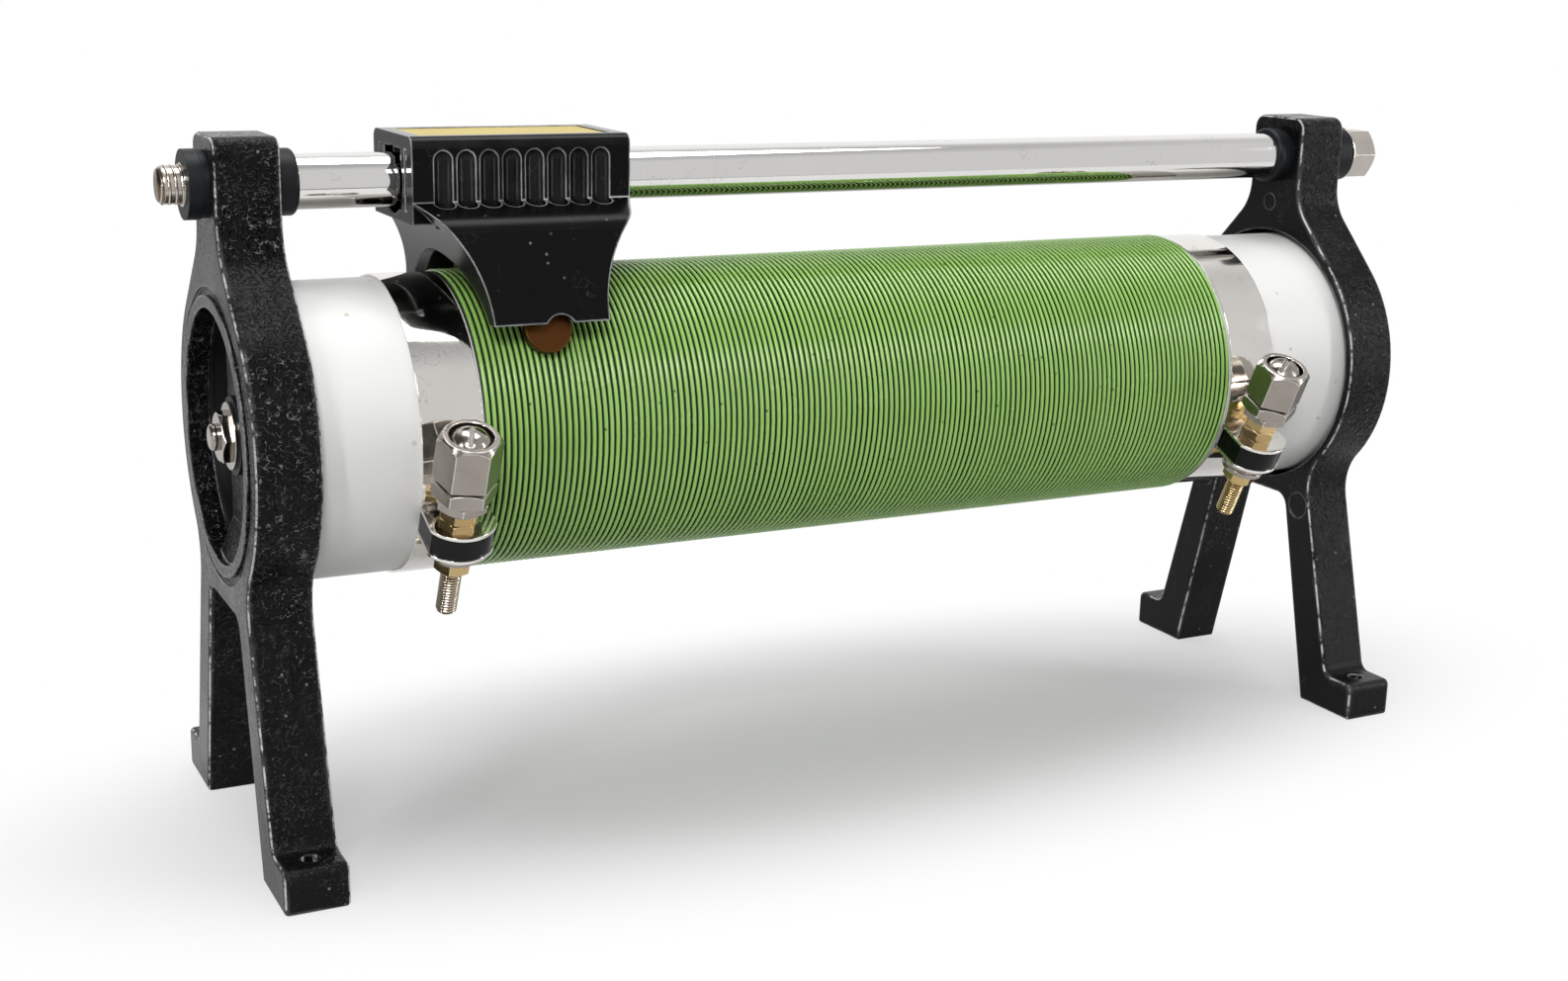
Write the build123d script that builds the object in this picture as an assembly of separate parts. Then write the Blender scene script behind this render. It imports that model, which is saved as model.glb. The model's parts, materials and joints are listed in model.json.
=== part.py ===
from build123d import *
import os
from math import cos, pi, radians, sin, sqrt, tan

# Laboratory rheostat: a ceramic tube wound with resistance wire stands between two cast end
# frames, and a moulded slider runs on a rod above it and carries two contact rollers.
# Millimetres. X runs along the tube, Y across it with the terminals on the -Y side, Z up.
# The origin is on the bench, at the centre of the four foot holes.

# End frames: casting, seen along X
frame_spread = 320.0          # outer face to outer face
frame_thickness = 15.0
tube_axis_height = 98.5
rod_rise = 22.9               # rod's axis above the tube's crest
boss_rise = 11.0              # top of the frame above the rod's axis
ring_wall = 3.8               # ring's outside past the tube's
boss_half_width = 10.6
flank_angle = 45.0            # slope of the neck between ring and boss
web_bottom_drop = 0.9         # top of the gap between the legs, below the ring
leg_top_outer = 25.9          # half widths at the top of that gap
leg_top_inner = 15.1
leg_outer_angle = 15.3        # splay of the leg's outer and inner side
leg_inner_angle = 13.7
foot_half_span = 50.0
foot_height = 10.5
foot_hole_radius = 2.1
foot_hole_inset = 6.0         # from the foot's end
frame_edge_radius = 1.1
boss_corner_radius = 3.6
neck_fillet = 13.0
waist_fillet = 14.0
crotch_fillet = 4.5
ledge_fillet = 3.2
foot_corner_radius = 1.8
mark_radius = 3.7             # round ejector marks on the inner face
mark_depth = 0.35
leg_mark_offset = 21.4
leg_mark_drop = 1.8           # below the top of the gap between the legs
boss_mark_drop = 13.6         # below the rod's axis
boss_mark_offset = 1.5
boss_mark_radius = 2.4

# Tube seat in the end frame
opening_inset = 5.2           # of the opening's wall, from the tube's outside
lip_depth = 5.0               # opening's wall, from the outer face
bead_width = 2.8
bead_height = 0.45
groove_width = 2.0
groove_depth = 0.8
socket_gap = 1.4              # round the tube, in its socket
gasket_thickness = 1.0
bar_half_width = 7.0          # cast bar across the opening
bar_face_depth = 4.8
bar_thickness = 4.0
bar_slope_length = 8.8        # at each end of the bar
bar_root_depth = 0.9

# Ceramic tube, winding and terminal bands
tube_radius = 35.0
tube_wall = 4.0
winding_half_length = 106.2
winding_offset = -1.0         # the winding sits a little to the left
winding_thickness = 1.1
winding_pitch = 1.5           # from one turn of wire to the next
winding_crest_share = 0.46    # flat part of a turn's rib
winding_seat_gap = 0.04
band_gap = 0.3                # between winding and band
band_width = 14.4
band_thickness = 0.55
band_seat_gap = 0.06

# Tie rod through the tube
tie_radius = 3.175
tie_clearance = 0.3
tie_overhang = 1.5            # past the frame's outer face
tie_nut_flats = 11.1
tie_nut_height = 2.4
tie_washer_radius = 7.9
tie_washer_thickness = 1.0
tie_seat_radius = 9.25
tie_seat_thickness = 1.0

# Guide rod, its bolt and bushes
rod_radius = 6.35
rod_bore_radius = 4.7
bolt_radius = 4.3
bolt_clearance = 0.08
bolt_left_overhang = 10.2     # past the left frame's outer face
bolt_head_flats = 13.0
bolt_head_height = 8.3
frame_rod_hole_radius = 5.9
bush_spigot_radius = 5.8
bush_spigot_length = 6.0
inner_bush_radius = 7.65
inner_bush_length = 5.0
outer_bush_radius = 7.9
left_bush_length = 3.2
right_bush_length = 5.8
bush_edge_radius = 1.2
fibre_washer_radius = 7.6
fibre_washer_thickness = 1.5
insert_wall = 0.6
insert_proud = 0.3
bolt_washer_radius = 7.7
bolt_washer_thickness = 0.6

# Terminal lugs: the stud stands square on the lug, which points forward and down
lug_angle = 24.5              # below the horizontal
lug_width = 15.6
stud_standoff = 6.2           # stud's axis from the tube's outside
insulator_thickness = 5.8
tab_thickness = 0.8
tab_length = 14.6             # from the tube's outside
tab_straight = 10.0           # from the tube's outside to the tab's rounded end
insulator_inset = 0.4
insulator_gap = 1.2           # from the tube's outside
tab_bend_radius = 0.3
stud_radius = 2.5
stud_top = 23.7               # heights along the stud from the lug's middle
stud_tip_left = -24.4
stud_tip_right = -23.4
stud_tip_chamfer = 0.6
bare_thread_radius = 2.25     # mean of the thread's root and crest, below the lowest nut
bare_thread_gap = 0.5         # below the lowest nut's face
fixed_bore_clearance = 0.05
brass_nut_flats = 8.0
thin_nut_flats = 11.0
lock_nut_flats = 13.0
left_lock_nut_height = 4.0
right_lock_nut_height = 3.5
left_brass_nut_height = 3.4
right_brass_nut_height = 3.0
left_thin_nut_height = 3.0
right_thin_nut_height = 2.2
clamp_washer_radius = 5.6
clamp_washer_thickness = 0.6
binding_nut_flats = 13.0
binding_nut_top = 26.3
binding_nut_chamfer = 1.5
nut_running_clearance = 0.07
nut_face_gap = 0.05
recess_radius = 5.1           # in the binding nut's top
recess_depth = 4.8
screw_head_radius = 4.4
screw_head_edge = 1.9
screw_dome_height = 1.9
screw_slot_width = 1.1
screw_slot_depth = 1.5
screw_shank_radius = 1.5
screw_shank_length = 6.0
lower_fibre_radius = 5.5
lower_fibre_thickness = 2.0
lower_washer_radius = 5.9
lower_washer_thickness = 1.0
lower_nut_height = 4.2
right_lower_hex_height = 2.8
right_lower_washer_thickness = 1.2
right_lower_nut_height = 3.5
left_binding_turn = -12.0     # how the nuts happen to stand, from a corner on +X
left_thin_turn = 15.0
left_brass_turn = -3.0
left_lower_turn = 3.0
right_binding_turn = 31.0
right_thin_turn = -10.0
right_brass_turn = -10.0
right_brass_turn_step = 3.0
right_lower_turn = 26.0
left_slot_turn = 70.0
right_slot_turn = 35.0
drill_length = 60.0           # longer than any nut
thread_pitch = 0.8
binding_nut_travel = 1.5

# Slider: moulded housing
slider_rest_inset = 17.2      # its middle, at rest, from the winding's left end
slider_length = 53.4
slider_half_width = 14.9
slider_top_rise = 10.8        # above the rod's axis
slider_block_height = 14.9    # from the shoulder of the skirts to the top
slider_wall = 4.0
slider_ceiling = 3.2
slider_top_edge_radius = 2.4
skirt_bottom_drop = 7.2       # below the tube's crest
skirt_lap = 3.4               # skirt's bottom edge, past the roller's lowest inner edge
skirt_edge_width = 3.0
skirt_bottom_half_length = 14.0
skirt_flare = 8.8             # from the outside knee to the bottom edge
skirt_knee_drop = 3.3         # below the shoulder
skirt_knee_radius = 5.0
skirt_web = 3.0               # at the ends of the cavity between the skirts
arch_clearance = 6.0          # from the tube's outside, from end to end
tent_apex_half_width = 6.0    # cavity between the skirts
tent_apex_drop = 1.3          # below the shoulder
flute_count = 8
flute_pitch = 5.5
flute_radius = 2.35
flute_depth = 1.45
flute_top_drop = 3.0          # below the housing's top
end_recess = 2.5
end_wall = 3.0
end_lip_drop = 5.0            # underside of the end's lip, below the shoulder
end_lip_thickness = 2.5
end_rib_offset = 8.0
end_rib_width = 2.6
label_length = 46.0
label_width = 21.0
label_pocket = 0.7
label_thickness = 0.45
label_margin = 0.3
label_corner = 1.2
slider_bush_wall = 1.5
slider_bush_length = 4.2
slider_running_clearance = 0.08
notch_half_width = 3.3
notch_height = 1.9
notch_offset = 2.0

# Contact rollers and the leaf springs that hold them
roller_radius = 5.7
roller_thickness = 2.6
roller_tilt = 21.0            # from upright, like the skirt
roller_rim_clearance = 0.3    # from the winding
roller_drop = 16.35           # lowest inner edge, below the winding's crest
roller_edge_radius = 0.35
roller_pocket_clearance = 0.6
axle_radius = 1.2             # stub turned in one piece with the roller
axle_end = 0.05               # past the clip
axle_clearance = 0.05         # in the leaf's hole
clip_radius = 1.6
clip_thickness = 0.3
clip_seat_clearance = 0.02
leaf_thickness = 0.4
leaf_width = 9.0
leaf_gap = 0.1
leaf_tail = 2.4               # below the axle
leaf_top_reach = 9.6
leaf_bend_inset = 9.9         # from the roller's lowest inner edge
leaf_bend_radius = 2.5
leaf_screw_position = 0.32    # along the sloping stretch
leaf_screw_head_radius = 2.2
leaf_screw_head_thickness = 1.2
leaf_screw_radius = 1.25
leaf_screw_length = 5.0

# Worked out from the values above
ring_radius = tube_radius + ring_wall
opening_radius = tube_radius - opening_inset
bar_flat_half_length = opening_radius - bar_slope_length
rod_axis_height = tube_axis_height + tube_radius + rod_rise
frame_height = rod_axis_height + boss_rise
web_bottom_height = tube_axis_height - ring_radius - web_bottom_drop
leg_mark_height = web_bottom_height - leg_mark_drop
frame_face = frame_spread / 2
frame_inner_face = frame_face - frame_thickness
seat_floor = frame_face - lip_depth
tube_half_length = seat_floor - gasket_thickness
socket_radius = tube_radius + socket_gap
winding_radius = tube_radius + winding_seat_gap + winding_thickness
band_inner_radius = tube_radius + band_seat_gap
band_outer_radius = band_inner_radius + band_thickness
band_x = winding_half_length + band_gap + band_width / 2
foot_hole_x = frame_face - frame_thickness / 2
foot_hole_y = foot_half_span - foot_hole_inset
bar_face = frame_face - bar_face_depth
stud_radius_from_axis = tube_radius + stud_standoff
tab_reach = tube_radius + tab_length
tab_shoulder = tube_radius + tab_straight
insulator_back = tube_radius + insulator_gap
block_half = insulator_thickness / 2
tab_face = block_half + tab_thickness
slider_rest_x = winding_offset - winding_half_length + slider_rest_inset
slider_top_height = rod_axis_height + slider_top_rise
slider_shoulder_height = slider_top_height - slider_block_height
flute_top_height = slider_top_height - flute_top_drop
skirt_bottom_height = tube_axis_height + tube_radius - skirt_bottom_drop
roller_path_radius = winding_radius + roller_rim_clearance
roller_foot_rise = roller_path_radius - roller_drop
roller_reach = sqrt(roller_path_radius ** 2 - roller_foot_rise ** 2)
skirt_reach = roller_reach + skirt_lap
skirt_knee_reach = skirt_reach - skirt_flare
leaf_bend_reach = roller_reach - leaf_bend_inset
arch_radius = tube_radius + arch_clearance
skirt_knee_height = slider_shoulder_height - skirt_knee_drop
tent_apex_height = slider_shoulder_height - tent_apex_drop
end_lip_bottom = slider_shoulder_height - end_lip_drop
end_lip_top = end_lip_bottom + end_lip_thickness
clip_start = roller_thickness + 2 * leaf_gap + leaf_thickness

os.makedirs("parts", exist_ok=True)


def save(name, shape):
    """Write one named piece."""
    export_step(shape, f"parts/{name}.step")


def ring(outer, inner, start, length, axis_height):
    """Plain ring or washer on an X axis, from x = start."""
    plane = Plane(origin=(start, 0, axis_height), x_dir=(0, 1, 0), z_dir=(1, 0, 0))
    face = plane * (Circle(outer) - Circle(inner))
    return extrude(face, length)


def rod_along_x(radius, start, end, axis_height):
    plane = Plane(origin=(start, 0, axis_height), x_dir=(0, 1, 0), z_dir=(1, 0, 0))
    return extrude(plane * Circle(radius), end - start)


def hex_blank(flats, height, chamfer_top, chamfer_bottom):
    """Hexagon standing on z = 0 whose corners are turned off in cones at the chosen ends."""
    corner = flats / sqrt(3)
    turned = flats / 2 * 0.98
    fall = (corner - turned) * tan(radians(30))
    profile = [(0, 0)]
    if chamfer_bottom:
        profile += [(turned, 0), (corner, fall)]
    else:
        profile += [(corner, 0)]
    if chamfer_top:
        profile += [(corner, height - fall), (turned, height)]
    else:
        profile += [(corner, height)]
    profile += [(0, height)]
    turned_blank = revolve(Plane.XZ * make_face(Polyline(*profile, close=True)), Axis.Z)
    prism = extrude(RegularPolygon(corner, 6), height)
    return prism & turned_blank


def vertices_at(sketch, places):
    """The sketch's corners nearest to each place."""
    corners = sketch.vertices()
    return [min(corners, key=lambda v: (v.X - y) ** 2 + (v.Y - z) ** 2) for y, z in places]


def both_sides(y, z):
    return [(y, z), (-y, z)]


# End frame

def leg_outer(height):
    return leg_top_outer + (web_bottom_height - height) * tan(radians(leg_outer_angle))


def leg_inner(height):
    return leg_top_inner + (web_bottom_height - height) * tan(radians(leg_inner_angle))


def frame_outline():
    """Ring, neck and boss above; web, splayed legs and feet below."""
    tangent = radians(flank_angle)
    flank_y = ring_radius * cos(tangent)
    flank_z = tube_axis_height + ring_radius * sin(tangent)
    knee_z = flank_z + (flank_y - boss_half_width) / tan(tangent)
    leg_root = tube_axis_height - ring_radius / 2
    outline = Pos(0, tube_axis_height) * Circle(ring_radius)
    outline += make_face(Polyline(
        (-boss_half_width, frame_height), (boss_half_width, frame_height),
        (boss_half_width, knee_z), (flank_y, flank_z), (-flank_y, flank_z),
        (-boss_half_width, knee_z), close=True))
    outline += make_face(Polyline(
        (-leg_top_inner, web_bottom_height), (leg_top_inner, web_bottom_height),
        (leg_top_inner, leg_root), (-leg_top_inner, leg_root), close=True))
    for side in (-1, 1):
        outline += make_face(Polyline(
            (side * leg_inner(0), 0), (side * foot_half_span, 0),
            (side * foot_half_span, foot_height), (side * leg_outer(foot_height), foot_height),
            (side * leg_outer(leg_root), leg_root), (side * leg_inner(leg_root), leg_root),
            close=True))
    waist = max((v for v in outline.vertices() if v.X > 0 and v.Y < tube_axis_height
                 and v.Y > web_bottom_height + 1), key=lambda v: v.X)
    for places, radius in (
            (both_sides(boss_half_width, frame_height), boss_corner_radius),
            (both_sides(boss_half_width, knee_z), neck_fillet),
            (both_sides(waist.X, waist.Y), waist_fillet),
            (both_sides(leg_top_inner, web_bottom_height), crotch_fillet),
            (both_sides(leg_outer(foot_height), foot_height), ledge_fillet),
            (both_sides(foot_half_span, foot_height), foot_corner_radius),
            (both_sides(foot_half_span, 0), foot_corner_radius / 2)):
        outline = fillet(vertices_at(outline, places), radius)
    return outline


def end_frame():
    """Left frame: outer face at x = -frame_face, socket open towards the tube."""
    plane = Plane(origin=(-frame_face, 0, 0), x_dir=(0, 1, 0), z_dir=(1, 0, 0))
    body = extrude(plane * frame_outline(), frame_thickness)
    rims = body.faces().sort_by(Axis.X)
    body = fillet(rims[0].outer_wire().edges() + rims[-1].outer_wire().edges(),
                  frame_edge_radius)
    axis = tube_axis_height
    bead_radius = opening_radius + bead_width
    body += ring(bead_radius, opening_radius, -frame_face - bead_height,
                 bead_height + 1, axis)
    body -= ring(bead_radius + groove_width, bead_radius, -frame_face - bead_height,
                 bead_height + groove_depth, axis)
    body -= rod_along_x(opening_radius, -frame_face - 2, -frame_inner_face + 1, axis)
    body -= rod_along_x(socket_radius, -seat_floor, -frame_inner_face + 1, axis)
    body += cross_bar()
    body -= rod_along_x(tie_radius + tie_clearance, -frame_face - 1, -frame_inner_face, axis)
    body -= rod_along_x(frame_rod_hole_radius, -frame_face - 1, -frame_inner_face + 1,
                        rod_axis_height)
    for y in (-foot_hole_y, foot_hole_y):
        body -= Pos(-foot_hole_x, y, foot_height / 2) * Cylinder(foot_hole_radius,
                                                                 foot_height * 2)
    start = -frame_inner_face - mark_depth
    for y, z, radius in ((-leg_mark_offset, leg_mark_height, mark_radius),
                         (leg_mark_offset, leg_mark_height, mark_radius),
                         (boss_mark_offset, rod_axis_height - boss_mark_drop,
                          boss_mark_radius)):
        body -= Pos(0, y, 0) * rod_along_x(radius, start, start + 1, z)
    return body


def cross_bar():
    """Bar across the opening, dished inwards so that the tie nut sits below the face."""
    reach = opening_radius + 0.8
    slope_end = opening_radius - 1
    inner_depth = bar_face_depth + bar_thickness
    profile = [(bar_root_depth, reach), (bar_face_depth, bar_flat_half_length),
               (bar_face_depth, -bar_flat_half_length), (bar_root_depth, -reach),
               (lip_depth, -reach), (lip_depth, -slope_end),
               (inner_depth, -bar_flat_half_length), (inner_depth, bar_flat_half_length),
               (lip_depth, slope_end), (lip_depth, reach)]
    plane = Plane(origin=(-frame_face, 0, tube_axis_height), x_dir=(1, 0, 0), z_dir=(0, -1, 0))
    bar = extrude(plane * make_face(Polyline(*profile, close=True)), bar_half_width, both=True)
    return bar & rod_along_x(reach, -frame_face, -frame_inner_face, tube_axis_height)


# Tube, winding and bands

def terminal_band():
    """Clamp band in the lug's own frame: the lug points along -Y, the stud along Z."""
    band = extrude(Plane.YZ * (Circle(band_outer_radius) - Circle(band_inner_radius)),
                   band_width / 2, both=True)
    band -= Pos(0, -tube_radius, 0) * Box(band_width * 2, tube_radius, insulator_thickness)
    plate = tab_plan(0, band_inner_radius + band_thickness / 4)
    for side in (-1, 1):
        low = block_half if side > 0 else -tab_face
        band += Pos(0, 0, low) * extrude(plate, tab_thickness)
    corners = [e for e in band.edges().filter_by(Axis.X)
               if abs(abs(e.center().Z) - tab_face) < 0.01 and e.length > band_width * 0.9
               and -tube_radius - 2 < e.center().Y < 0]
    band = fillet(corners, tab_bend_radius)
    band -= Pos(0, -stud_radius_from_axis, 0) * Cylinder(stud_radius + fixed_bore_clearance,
                                                         insulator_thickness * 3)
    for side in (-1, 1):
        beside = Rot(0, 90, 0) * Cylinder(winding_radius + band_gap, lug_width - band_width)
        band -= Pos(side * lug_width / 2, 0, 0) * beside
    return band


def tab_plan(inset, back):
    """Outline of a lug seen along the stud: square at the tube, rounded at the free end."""
    half = lug_width / 2 - inset
    tip = tab_reach - inset
    side = Polyline((-half, -tab_shoulder), (-half, -back), (half, -back),
                    (half, -tab_shoulder))
    end = ThreePointArc((half, -tab_shoulder), (0, -tip), (-half, -tab_shoulder))
    return make_face(side.edges() + [end])


def lug_location(side):
    """Where a terminal's own frame sits: origin on the tube's axis, Z up along the stud."""
    angle = radians(lug_angle)
    plane = Plane(origin=(winding_offset + side * band_x, 0, tube_axis_height), x_dir=(1, 0, 0),
                  z_dir=(0, -sin(angle), cos(angle)))
    return plane.location


def on_stud(shape, low, turn=0.0):
    """Stand a piece made about Z on the stud's axis, at a height along the stud."""
    return Pos(0, -stud_radius_from_axis, low) * (Rot(0, 0, turn) * shape)


def drilled(shape, radius):
    return shape - Cylinder(radius, drill_length)


def fixed_nut(flats, height, low, turn, top=True, bottom=True):
    blank = hex_blank(flats, height, top, bottom)
    return on_stud(drilled(blank, stud_radius + fixed_bore_clearance), low, turn)


def washer(radius, thickness, low):
    blank = extrude(Circle(radius) - Circle(stud_radius + fixed_bore_clearance), thickness)
    return on_stud(blank, low)


def terminal_stud(tip, nut_face):
    """Stud whose bare end, below the lowest nut, is a little thinner."""
    shank = nut_face - bare_thread_gap
    stud = Pos(0, 0, tip) * extrude(Circle(bare_thread_radius), shank - tip)
    stud = chamfer(stud.edges().group_by(Axis.Z)[0], stud_tip_chamfer)
    stud += Pos(0, 0, shank) * extrude(Circle(stud_radius), stud_top - shank)
    stud -= Pos(0, 0, stud_top - screw_shank_length - 0.4) * extrude(
        Circle(screw_shank_radius + fixed_bore_clearance), screw_shank_length + 1)
    return on_stud(stud, 0)


def retaining_screw(turn):
    """Slotted screw with a domed head, down in the binding nut's recess."""
    rise = screw_head_edge + screw_dome_height
    wall = Polyline((0, 0), (screw_head_radius, 0), (screw_head_radius, screw_head_edge))
    dome = ThreePointArc((screw_head_radius, screw_head_edge),
                         (screw_head_radius * 0.6, screw_head_edge + screw_dome_height * 0.78),
                         (0, rise))
    head = revolve(Plane.XZ * make_face(wall.edges() + [dome, Line((0, rise), (0, 0))]), Axis.Z)
    head -= Pos(0, 0, rise) * Box(screw_head_radius * 3, screw_slot_width,
                                  screw_slot_depth * 2)
    head += Pos(0, 0, -screw_shank_length) * extrude(Circle(screw_shank_radius),
                                                     screw_shank_length)
    return on_stud(head, stud_top, turn)


def binding_nut(low, turn):
    """Tall hexagon that clamps the wire, recessed on top for the retaining screw."""
    corner = binding_nut_flats / sqrt(3)
    height = binding_nut_top - low
    rim = binding_nut_flats / 2 - 0.3
    profile = Polyline((0, 0), (corner, 0), (corner, height - binding_nut_chamfer),
                       (rim, height), (0, height), close=True)
    turned = revolve(Plane.XZ * make_face(profile), Axis.Z)
    nut = turned & extrude(RegularPolygon(corner, 6), height)
    nut -= Pos(0, 0, height - recess_depth) * extrude(Circle(recess_radius), recess_depth + 1)
    nut = drilled(nut, stud_radius + nut_running_clearance)
    return on_stud(nut, low, turn)


def clamp_washer(low):
    blank = extrude(Circle(clamp_washer_radius)
                    - Circle(stud_radius + nut_running_clearance), clamp_washer_thickness)
    return on_stud(blank, low)


def insulator():
    block = Pos(0, 0, -block_half) * extrude(tab_plan(insulator_inset, insulator_back),
                                             insulator_thickness)
    return block - Pos(0, -stud_radius_from_axis, 0) * Cylinder(
        stud_radius + fixed_bore_clearance, insulator_thickness * 2)


def terminal(side_name, side):
    """One terminal from the band to the screw, each piece in its own node."""
    at = lug_location(side)
    left = side < 0
    pieces = {"terminal_band": terminal_band(), "lug_insulator": insulator()}
    top = tab_face
    if left:
        pieces["brass_nuts"] = fixed_nut(brass_nut_flats, left_brass_nut_height, top,
                                         left_brass_turn)
        top += left_brass_nut_height
    else:
        pair = []
        for step in (0, right_brass_turn_step):
            pair.append(fixed_nut(brass_nut_flats, right_brass_nut_height - nut_face_gap,
                                  top, right_brass_turn + step))
            top += right_brass_nut_height
        pieces["brass_nuts"] = Compound(pair)
    thin = left_thin_nut_height if left else right_thin_nut_height
    pieces["thin_nut"] = fixed_nut(thin_nut_flats, thin, top,
                                   left_thin_turn if left else right_thin_turn)
    top += thin
    lock = left_lock_nut_height if left else right_lock_nut_height
    binding_turn = left_binding_turn if left else right_binding_turn
    pieces["lock_nut"] = fixed_nut(lock_nut_flats, lock, top, binding_turn)
    top += lock
    pieces["clamp_washer"] = clamp_washer(top)
    top += clamp_washer_thickness + nut_face_gap
    pieces["binding_nut"] = binding_nut(top, binding_turn)
    pieces["retaining_screw"] = retaining_screw(left_slot_turn if left else right_slot_turn)
    low = -tab_face
    if left:
        low -= lower_fibre_thickness
        pieces["lug_washer"] = washer(lower_fibre_radius, lower_fibre_thickness, low)
        low -= lower_washer_thickness
        pieces["lower_washer"] = washer(lower_washer_radius, lower_washer_thickness, low)
        low -= lower_nut_height
        pieces["lower_nut"] = fixed_nut(brass_nut_flats, lower_nut_height, low, left_lower_turn)
    else:
        low -= right_lower_hex_height
        pieces["lug_nut"] = fixed_nut(thin_nut_flats, right_lower_hex_height, low, 0)
        low -= right_lower_washer_thickness
        pieces["lower_washer"] = washer(lower_washer_radius, right_lower_washer_thickness, low)
        low -= right_lower_nut_height
        pieces["lower_nut"] = fixed_nut(brass_nut_flats, right_lower_nut_height, low,
                                        right_lower_turn)
    pieces["terminal_stud"] = terminal_stud(stud_tip_left if left else stud_tip_right, low)
    for name, piece in pieces.items():
        save(f"{side_name}_{name}", at * piece)


# Guide rod and bushes

def bush(flange_radius, flange_length, spigot_length, bore, rounded):
    """Flanged bush along +X: flange from x = 0, spigot after it."""
    body = rod_along_x(flange_radius, 0, flange_length, rod_axis_height)
    if rounded:
        body = fillet(body.edges().group_by(Axis.X)[0], bush_edge_radius)
    body += rod_along_x(bush_spigot_radius, flange_length, flange_length + spigot_length,
                        rod_axis_height)
    return body - rod_along_x(bore, -1, flange_length + spigot_length + 1, rod_axis_height)


def rod_group():
    height = rod_axis_height
    bore = bolt_radius + bolt_clearance
    inner_end = frame_inner_face - inner_bush_length
    save("guide_rod", ring(rod_radius, rod_bore_radius, -inner_end, 2 * inner_end, height))
    inner = bush(inner_bush_radius, inner_bush_length, bush_spigot_length, bore, True)
    save("right_inner_bush", Pos(inner_end, 0, 0) * inner)
    save("left_inner_bush", mirror(Pos(inner_end, 0, 0) * inner, Plane.YZ))
    washer_end = frame_face + fibre_washer_thickness
    washers = []
    for start in (-washer_end, frame_face):
        washers.append(ring(fibre_washer_radius, bush_spigot_radius + bolt_clearance, start,
                            fibre_washer_thickness, height))
    save("rod_fibre_washers", Compound(washers))
    left = bush(outer_bush_radius, left_bush_length, bush_spigot_length,
                bore + insert_wall, False)
    left_face = -washer_end - left_bush_length
    save("left_outer_bush", Pos(left_face, 0, 0) * left)
    save("left_bush_insert", ring(bore + insert_wall - bolt_clearance, bore,
                                  left_face - insert_proud,
                                  left_bush_length + bush_spigot_length, height))
    right = bush(outer_bush_radius, right_bush_length, bush_spigot_length, bore, True)
    right_face = washer_end + right_bush_length
    save("right_outer_bush", mirror(Pos(-right_face, 0, 0) * right, Plane.YZ))
    save("rod_bolt_washer", ring(bolt_washer_radius, bore, right_face,
                                 bolt_washer_thickness, height))
    head_face = right_face + bolt_washer_thickness
    bolt = rod_along_x(bolt_radius, -frame_face - bolt_left_overhang, head_face, height)
    bolt = fillet(bolt.edges().group_by(Axis.X)[0], 1.2)
    head = Plane(origin=(head_face, 0, height), x_dir=(0, 1, 0), z_dir=(1, 0, 0)).location \
        * hex_blank(bolt_head_flats, bolt_head_height, True, False)
    save("rod_bolt", bolt + head)


def tie_group():
    height = tube_axis_height
    reach = frame_face + tie_overhang
    tie = rod_along_x(tie_radius, -reach, reach, height)
    save("tie_rod", fillet(tie.edges().filter_by(GeomType.CIRCLE), 1.0))
    bore = tie_radius + fixed_bore_clearance
    seats = []
    for side in (-1, 1):
        seat = ring(tie_seat_radius, bore, bar_face, tie_seat_thickness, height)
        seats.append(seat if side > 0 else mirror(seat, Plane.YZ))
    save("tie_seat_washers", Compound(seats))
    washer_face = bar_face + tie_seat_thickness
    nut_face = washer_face + tie_washer_thickness
    plate = ring(tie_washer_radius, bore, washer_face, tie_washer_thickness, height)
    nut = Plane(origin=(nut_face, 0, height), x_dir=(0, 1, 0), z_dir=(1, 0, 0)).location \
        * drilled(hex_blank(tie_nut_flats, tie_nut_height, True, False), bore)
    save("right_tie_washer", plate)
    save("left_tie_washer", mirror(plate, Plane.YZ))
    save("right_tie_nut", nut)
    save("left_tie_nut", mirror(nut, Plane.YZ))


def wound_sleeve():
    """Winding as one sleeve, with a rib round its outside for each turn of the wire."""
    turns = round(2 * winding_half_length / winding_pitch)
    pitch = 2 * winding_half_length / turns
    slope = pitch * (1 - winding_crest_share) / 2
    start = winding_offset - winding_half_length
    end = start + 2 * winding_half_length
    inner = tube_radius + winding_seat_gap
    valley = winding_radius - winding_thickness / 2
    profile = [(start, inner)]
    for turn in range(turns):
        x = start + turn * pitch
        profile += [(x, valley), (x + slope, winding_radius),
                    (x + pitch - slope, winding_radius)]
    profile += [(end, valley), (end, inner)]
    section = make_face(Polyline(*profile, close=True))
    return Pos(0, 0, tube_axis_height) * revolve(section, Axis.X)


def tube_group():
    height = tube_axis_height
    bore = tube_radius - tube_wall
    save("ceramic_tube", ring(tube_radius, bore, -tube_half_length, 2 * tube_half_length,
                              height))
    for name, start in (("left_tube_gasket", -seat_floor),
                        ("right_tube_gasket", tube_half_length)):
        save(name, ring(socket_radius - 0.3, bore - 0.4, start, gasket_thickness, height))
    save("resistance_winding", wound_sleeve())


# Slider. Its pieces are made about x = 0 and moved to the rest place when they are saved.

def skirt_outer(height):
    """Half width of the skirt's outside at a height below the knee."""
    share = (skirt_knee_height - height) / (skirt_knee_height - skirt_bottom_height)
    return skirt_knee_reach + share * (skirt_reach - skirt_knee_reach)


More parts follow.
